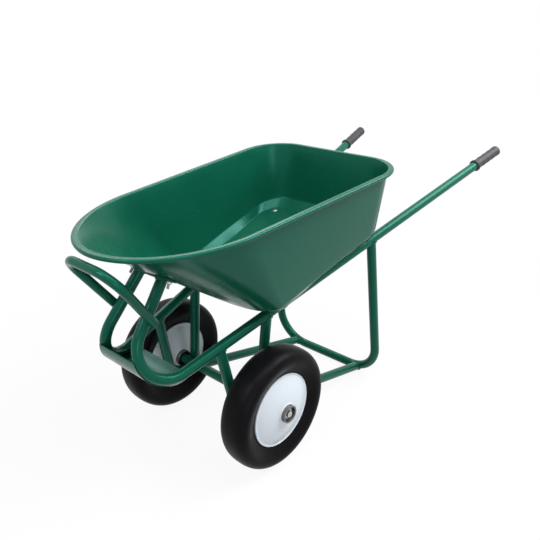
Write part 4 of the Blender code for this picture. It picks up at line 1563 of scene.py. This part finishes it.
@dataclass(frozen=True)
class Axle(Assembly):
    """The fixed axle: its rod, its tube, the spacers, the washers and the split pins."""

    weld: Weld = Weld(radius=0.0024)
    radius: float = 0.0095
    sides: int = 40
    tube_slack: float = 0.0012
    tube_end: float = 0.1682
    bead_x: float = 0.0085
    bead_sink: float = 0.0005
    bead_step: float = 0.0022
    bead_places: range = range(-4, 5)
    bearing_inner: float = 0.1808
    bearing_outer: float = 0.2898
    rod_end: float = 0.3008
    rod_ease: float = 0.001
    ring_ease: float = 0.0006
    spacer_wall: float = 0.0042
    washer_radius: float = 0.0182
    washer_thickness: float = 0.0025
    pin_wire: float = 0.0011
    pin_offset: float = 0.002
    pin_eye: float = 0.0031
    pin_sides: int = 10

    def _ring(self, outer: float, low: float, high: float, side: Side) -> Draft:
        """A plain ring on the axle's rod.

        Args:
            outer: its outer radius.
            low: its near end's distance from the middle.
            high: its far end's distance.
            side: the side that it is on.

        Returns:
            The ring.
        """
        inner = self.radius + self.layout.gap
        ease = min(self.ring_ease, (high - low) / 4)
        section = [(outer, low + ease), (outer, high - ease), (outer - ease, high)]
        section += [(inner, high), (inner, low), (outer - ease, low)]
        return Draft().lathe(section, Vector((0, 0, self.layout.axle_height)), side * Y, self.sides)

    def _pin(self, y: float) -> Draft:
        """A split pin: one leg up, round the eye, and down the other leg, with the tips bent apart.

        Args:
            y: where it stands on the rod.

        Returns:
            The pin.
        """
        wire = self.pin_wire
        line = [(-0.0075, -0.0150), (-0.0035, -0.0140), (-wire, -0.0110), (-wire, 0.0), (-wire, 0.0105)]
        for turn in (math.radians(degrees) for degrees in (-60, -110, 180, 110, 60)):
            line.append((self.pin_eye * math.sin(turn), 0.0140 + self.pin_eye * -math.cos(turn)))
        line += [(wire, 0.0105), (wire, 0.0), (wire, -0.0115), (0.0040, -0.0150), (0.0078, -0.0165)]
        path = spline([Vector((x, y, self.layout.axle_height + z)) for x, z in line], steps=5)
        return Draft().loft(sweep(path, [wire] * len(path), self.pin_sides), caps=(True, True))

    def _bar(self) -> None:
        """Makes the rod and the tube round it."""
        lay = self.layout
        centre = Vector((0, 0, lay.axle_height))
        eased, half = self.radius - self.rod_ease, self.rod_end
        section = [(0, -half), (eased, -half), (self.radius, -half + self.rod_ease)]
        section += [(self.radius, half - self.rod_ease), (eased, half), (0, half)]
        rod = Draft().lathe(section, centre, Y, self.sides, closed=False)
        self.bench.piece("axle_round_rod", rod, Finish.ZINC, ["axle_rod"])
        tube = Draft()
        path = [centre - Y * self.tube_end, centre, centre + Y * self.tube_end]
        Tube(path, lay.tube_radius, lay.tube_radius - self.radius - self.tube_slack).draw(tube)
        self.bench.piece("axle_round_tube", tube, Finish.GREEN, ["axle_tube"])

    def build(self) -> None:
        """Makes everything that stays still on the axle."""
        self._bar()
        lay = self.layout
        beads = Draft()
        bead_height = lay.axle_height - lay.tube_radius + self.bead_sink
        spacer_radius = self.radius + lay.gap + self.spacer_wall
        spacer_start, spacer_end = self.tube_end + lay.gap, self.bearing_inner - lay.gap
        washer_start = self.bearing_outer + lay.gap
        washer_end = washer_start + self.washer_thickness
        for side in Side:
            for x in (-self.bead_x, self.bead_x):
                place = Vector((x, side * lay.cradle_y, bead_height))
                self.weld.run(beads, [place + Y * self.bead_step * step for step in self.bead_places])
            spacer = self._ring(spacer_radius, spacer_start, spacer_end, side)
            washer = self._ring(self.washer_radius, washer_start, washer_end, side)
            pin = self._pin(side * (washer_end + lay.gap + self.pin_offset))
            self.bench.piece(f"{side.word}_spacer_ring", spacer, Finish.ZINC, [f"{side.word}_axle_spacer"])
            self.bench.piece(f"{side.word}_flat_washer", washer, Finish.ZINC, [f"{side.word}_axle_washer"])
            self.bench.piece(f"{side.word}_split_pin", pin, Finish.STEEL, [f"{side.word}_cotter_pin"])
        self.bench.piece("axle_tube_welds", beads, Finish.GREEN)


@dataclass(frozen=True)
class Wheel(Assembly):
    """One wheel: a solid tyre on a rolled rim, two pressed discs, a hub and two shielded bearings."""

    side: Side
    tyre_radius: float = 0.191
    half_width: float = 0.0492
    flange_radius: float = 0.1160
    flange_half: float = 0.0350
    seat_radius: float = 0.1016
    rim_sheet: float = 0.0025
    disc_sheet: float = 0.0025
    disc_top: float = 0.0525
    hub_radius: float = 0.0275
    hub_half: float = 0.0665
    hub_recess: float = 0.012
    hub_step: float = 0.002
    hub_ease: float = 0.0007
    bearing_radius: float = 0.0222
    bearing_width: float = 0.014
    shaft_radius: float = 0.0098
    race: float = 0.003
    bearing_ease: float = 0.0004
    steps: int = 128
    hub_steps: int = 64
    bearing_steps: int = 56

    def _tyre(self) -> Profile:
        """The tyre's section, with a fine moulding line at the crown and a ring near the rim.

        Returns:
            Its section.
        """
        crown = self.tyre_radius - 0.0001
        upper = smooth_profile(
            [
                (0.1170, 0.0290), (0.1195, 0.0318), (0.1245, 0.0342), (0.1362, 0.0400), (0.1480, 0.0464),
                (0.1599, self.half_width), (0.1705, 0.0478), (0.1791, 0.0423), (0.1850, 0.0345), (0.1888, 0.0246),
                (0.1906, 0.0120), (crown, 0.0030),
            ],
            steps=5,
        )
        foot = self.seat_radius + self.layout.gap
        section = [(foot, 0.0), (foot, 0.0215)] + upper + [(crown, 0.0012), (self.tyre_radius, 0.0006)]
        return mirrored_profile(section)

    def _rim(self) -> Profile:
        """The rolled rim: a well and a flange with a rounded lip on each side.

        Returns:
            Its section.
        """
        r, h = self.flange_radius, self.flange_half
        half = smooth_profile(
            [
                (self.seat_radius, 0.0), (self.seat_radius, 0.0200), (self.seat_radius + 0.0020, 0.0232),
                (r - 0.0045, 0.0268), (r - 0.0012, 0.0288), (r, 0.0312), (r - 0.0002, h - 0.0012), (r - 0.0014, h),
            ],
            steps=4,
        )
        face = [(radius, -height) for radius, height in reversed(half[1:])] + half
        return sheet_profile(face, -self.rim_sheet)

    def _disc(self) -> Profile:
        """A domed disc, pressed up to a small flare at the hub and seated inside the rim's flange.

        Returns:
            Its section.
        """
        edge = self.flange_radius - self.rim_sheet - 2 * self.layout.gap
        neck, top = self.hub_radius + 2 * self.layout.gap, self.disc_top
        face = smooth_profile(
            [
                (neck, top + 0.0022), (neck + 0.0022, top + 0.0004), (neck + 0.0085, top - 0.0011),
                (0.0500, 0.0497), (0.0663, 0.0466), (0.0800, 0.0434), (0.0918, 0.0400), (0.1020, 0.0364),
                (0.1075, 0.0342), (0.1102, 0.0336), (edge, self.flange_half - 0.0005),
            ],
            steps=5,
        )
        return sheet_profile(face, self.disc_sheet)

    def _hub(self) -> Profile:
        """The hub tube, with eased ends and a bearing seat in each.

        Returns:
            Its section.
        """
        seat = self.bearing_radius + self.layout.gap
        shoulder = self.hub_half - self.hub_recess - self.bearing_width - self.layout.gap
        bore, end, ease = seat - self.hub_step, self.hub_half, self.hub_ease
        half = [(bore, 0.0), (bore, shoulder), (seat, shoulder), (seat, end - ease), (seat + ease, end)]
        return mirrored_profile(half + [(self.hub_radius - ease, end), (self.hub_radius, end - ease)])

    def _bearing(self) -> Profile:
        """A shielded bearing: two races with eased edges and a pressed shield between them.

        Returns:
            Its section.
        """
        high = self.hub_half - self.hub_recess
        low = high - self.bearing_width
        bore, inner = self.shaft_radius, self.shaft_radius + self.race
        rim, outer, ease = self.bearing_radius, self.bearing_radius - self.race, self.bearing_ease
        shield = ((0.0, 0.0016), (0.0004, 0.0010), (0.0012, 0.0007))
        section = [(rim, high - ease), (rim, low), (bore, low), (bore, high - ease), (bore + ease, high)]
        section += [(inner - ease, high), (inner, high - ease)]
        section += [(inner + reach, high - drop) for reach, drop in shield]
        section += [(outer - reach, high - drop) for reach, drop in reversed(shield)]
        return section + [(outer, high - ease), (outer + ease, high), (rim - ease, high)]

    def build(self) -> None:
        """Makes everything that turns with this wheel."""
        word = self.side.word
        centre = Vector((0, self.side * self.layout.half_track, self.layout.axle_height))
        out = self.side * Y
        pieces = [
            ("solid_tyre", "tyre", self._tyre(), out, Finish.TYRE, self.steps),
            ("rolled_rim", "rim", self._rim(), out, Finish.WHITE, self.steps),
            ("hub_tube", "hub", self._hub(), out, Finish.STEEL, self.hub_steps),
        ]
        for place, facing in (("outer", out), ("inner", -out)):
            disc, bearing = f"{place}_disc", f"{place}_bearing"
            pieces.append((f"{place}_pressed_disc", disc, self._disc(), facing, Finish.WHITE, self.steps))
            pieces.append((f"{place}_ball_bearing", bearing, self._bearing(), facing, Finish.STEEL, self.bearing_steps))
        for name, node, section, facing, finish, steps in pieces:
            draft = Draft().lathe(section, centre, facing, steps)
            self.bench.piece(f"{word}_{name}", draft, finish, [f"{word}_{node}"], f"{word}_wheel")


# Studio


@dataclass(frozen=True)
class Lamp:
    """A soft flat lamp.

    Attributes:
        name: its name.
        place: where it stands.
        aim: what it points at.
        size: its width and height.
        power: its power in watts.
    """

    name: str
    place: Place
    aim: Place
    size: Pair
    power: float

    def build(self) -> None:
        """Puts up the lamp."""
        light = bpy.data.lights.new(self.name, "AREA")
        light.shape = "RECTANGLE"
        light.size, light.size_y = self.size
        light.energy = self.power
        lamp = add_object(self.name, light)
        lamp.location = self.place
        lamp.rotation_euler = (Vector(self.aim) - Vector(self.place)).to_track_quat("-Z", "Y").to_euler()


@dataclass(frozen=True)
class Studio:
    """A pale floor that runs out into a white surround, soft lamps, and the photograph's camera.

    Attributes:
        axle_x: the axle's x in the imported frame, from which the camera's place was fitted.
        eye: where the camera stands.
        elevation: how far it looks down, in degrees.
        azimuth: how far it is turned about the upright, in degrees.
        lens: its focal length, in millimetres.
        sensor_width: width of its sensor, in millimetres.
        floor_radius: radius of the floor.
        floor_drop: how far it lies below the wheels, so that they don't cut it.
        paper: its colour where it is lit.
        blank: share of plain white in what is seen of it, near the barrow and far off; the rest is lit paper.
        fade: how far from the middle the first share starts to turn into the second one, and where it ends.
        bounce: the grey of the floor for the light that it throws back.
        surround: strength of the light from all around.
    """

    axle_x: float
    eye: Place = (1.1302, 1.2294, 1.2819)
    elevation: float = 23.301
    azimuth: float = 131.735
    lens: float = 40.347
    sensor_width: float = 36.0
    floor_radius: float = 14.0
    floor_drop: float = 0.0004
    paper: Colour = (0.86, 0.86, 0.86)
    blank: Pair = (0.92, 1.0)
    fade: Pair = (0.8, 1.9)
    bounce: Colour = (0.5, 0.5, 0.5)
    surround: float = 0.20
    lamps: tuple[Lamp, ...] = (
        Lamp("overhead_softbox", (0.95, 0.65, 3.2), (-0.1, -0.2, 0.62), (2.4, 1.0), 38.0),
        Lamp("left_softbox", (-1.1, 1.35, 2.87), (0.1, -0.2, 0.57), (2.4, 1.0), 68.0),
        Lamp("rear_softbox", (-1.87, 1.45, 2.16), (0.0, -0.23, 0.58), (1.4, 0.6), 22.0),
        Lamp("right_softbox", (-1.1, -2.4, 2.75), (0.1, 0, 0.5), (2.4, 0.7), 26.0),
        Lamp("front_softbox", (2.9, -0.3, 2.7), (0, 0, 0.6), (1.4, 0.8), 30.0),
        Lamp("corner_softbox", (2.0, 2.55, 1.0), (-0.3, -0.1, 0.7), (1.1, 0.7), 11.0),
    )

    @staticmethod
    def _surface(tree: Tree, output: str, lit: Node, seen: Node) -> None:
        """Gives a tree one shader for its light, and another for what is seen of it.

        Args:
            tree: the node tree.
            output: the name of its output node.
            lit: the shader for the light that it gives or throws back.
            seen: the shader that the camera, a reflection or a clear material sees.
        """
        path = add_node(tree, "ShaderNodeLightPath").outputs
        mask = path["Is Camera Ray"]
        for label in ("Is Glossy Ray", "Is Transmission Ray"):
            mask = add_node(tree, "ShaderNodeMath", {0: mask, 1: path[label]}, operation="MAXIMUM").outputs[0]
        mix = add_node(tree, "ShaderNodeMixShader", {0: mask, 1: lit.outputs[0], 2: seen.outputs[0]})
        plug(tree.nodes[output], {"Surface": mix.outputs[0]})

    def _world(self) -> None:
        """Makes the surround white to look at, and plain soft light for everything else."""
        world = bpy.data.worlds.new("surround")
        world.use_nodes = True
        tree = world.node_tree
        plain = plug(tree.nodes["Background"], {"Color": WHITE, "Strength": self.surround})
        white = add_node(tree, "ShaderNodeBackground", {"Color": WHITE, "Strength": 1.0})
        self._surface(tree, "World Output", plain, white)
        bpy.context.scene.world = world

    def _floor(self) -> None:
        """Lays the floor, which turns plain white away from the barrow."""
        mesh = bpy.data.meshes.new("studio_floor")
        shape = bmesh.new()
        bmesh.ops.create_circle(shape, cap_ends=True, segments=96, radius=self.floor_radius)
        shape.to_mesh(mesh)
        shape.free()
        floor = add_object("studio_floor", mesh)
        floor.location.z = -self.floor_drop
        paper = bpy.data.materials.new("floor_paper")
        paper.use_nodes = True
        tree = paper.node_tree
        tree.nodes.remove(tree.nodes["Principled BSDF"])
        place = add_node(tree, "ShaderNodeTexCoord").outputs["Object"]
        far = add_node(tree, "ShaderNodeVectorMath", {0: place}, operation="LENGTH").outputs["Value"]
        span = dict(zip(("From Min", "From Max", "To Min", "To Max"), self.fade + self.blank))
        fade = add_node(tree, "ShaderNodeMapRange", {"Value": far, **span}, interpolation_type="SMOOTHSTEP")
        matt = add_node(tree, "ShaderNodeBsdfDiffuse", {"Color": self.paper})
        glow = add_node(tree, "ShaderNodeEmission")
        seen = {0: fade.outputs["Result"], 1: matt.outputs[0], 2: glow.outputs[0]}
        bounce = add_node(tree, "ShaderNodeBsdfDiffuse", {"Color": self.bounce})
        self._surface(tree, "Material Output", bounce, add_node(tree, "ShaderNodeMixShader", seen))
        mesh.materials.append(paper)

    def _camera(self) -> None:
        """Stands the camera where the photograph was taken from."""
        camera = bpy.data.cameras.new("photo_camera")
        camera.sensor_width = self.sensor_width
        camera.lens = self.lens
        eye = add_object("photo_camera", camera)
        eye.location = Vector(self.eye) + X * self.axle_x
        eye.rotation_euler = (math.radians(90 - self.elevation), 0, math.radians(self.azimuth))
        bpy.context.scene.camera = eye

    def build(self) -> None:
        """Sets up the floor, the light and the camera."""
        self._camera()
        self._world()
        self._floor()
        for lamp in self.lamps:
            lamp.build()
        bpy.context.scene.view_settings.view_transform = "Standard"


def main() -> None:
    """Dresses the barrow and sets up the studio."""
    logging.basicConfig(level=logging.INFO, format="%(name)s: %(message)s")
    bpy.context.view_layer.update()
    joint = next(joint for joint in FRAME["joints"] if joint["name"] == "left_wheel_spin")
    axle = Vector(joint["pos_m"])
    layout = Layout(axle_height=axle.z, half_track=axle.y)
    bench = Workbench(layout, X * axle.x)
    Studio(axle.x).build()
    tub = Tub(bench)
    nose = tub.nose_face()
    wheels = [Wheel(bench, side) for side in Side]
    fixed = (TubeFrame(bench, nose), NosePlate(bench), TubFixings(bench, nose), Grips(bench), Axle(bench))
    for assembly in (tub, *fixed, *wheels):
        assembly.build()


if __name__ == "__main__":
    main()
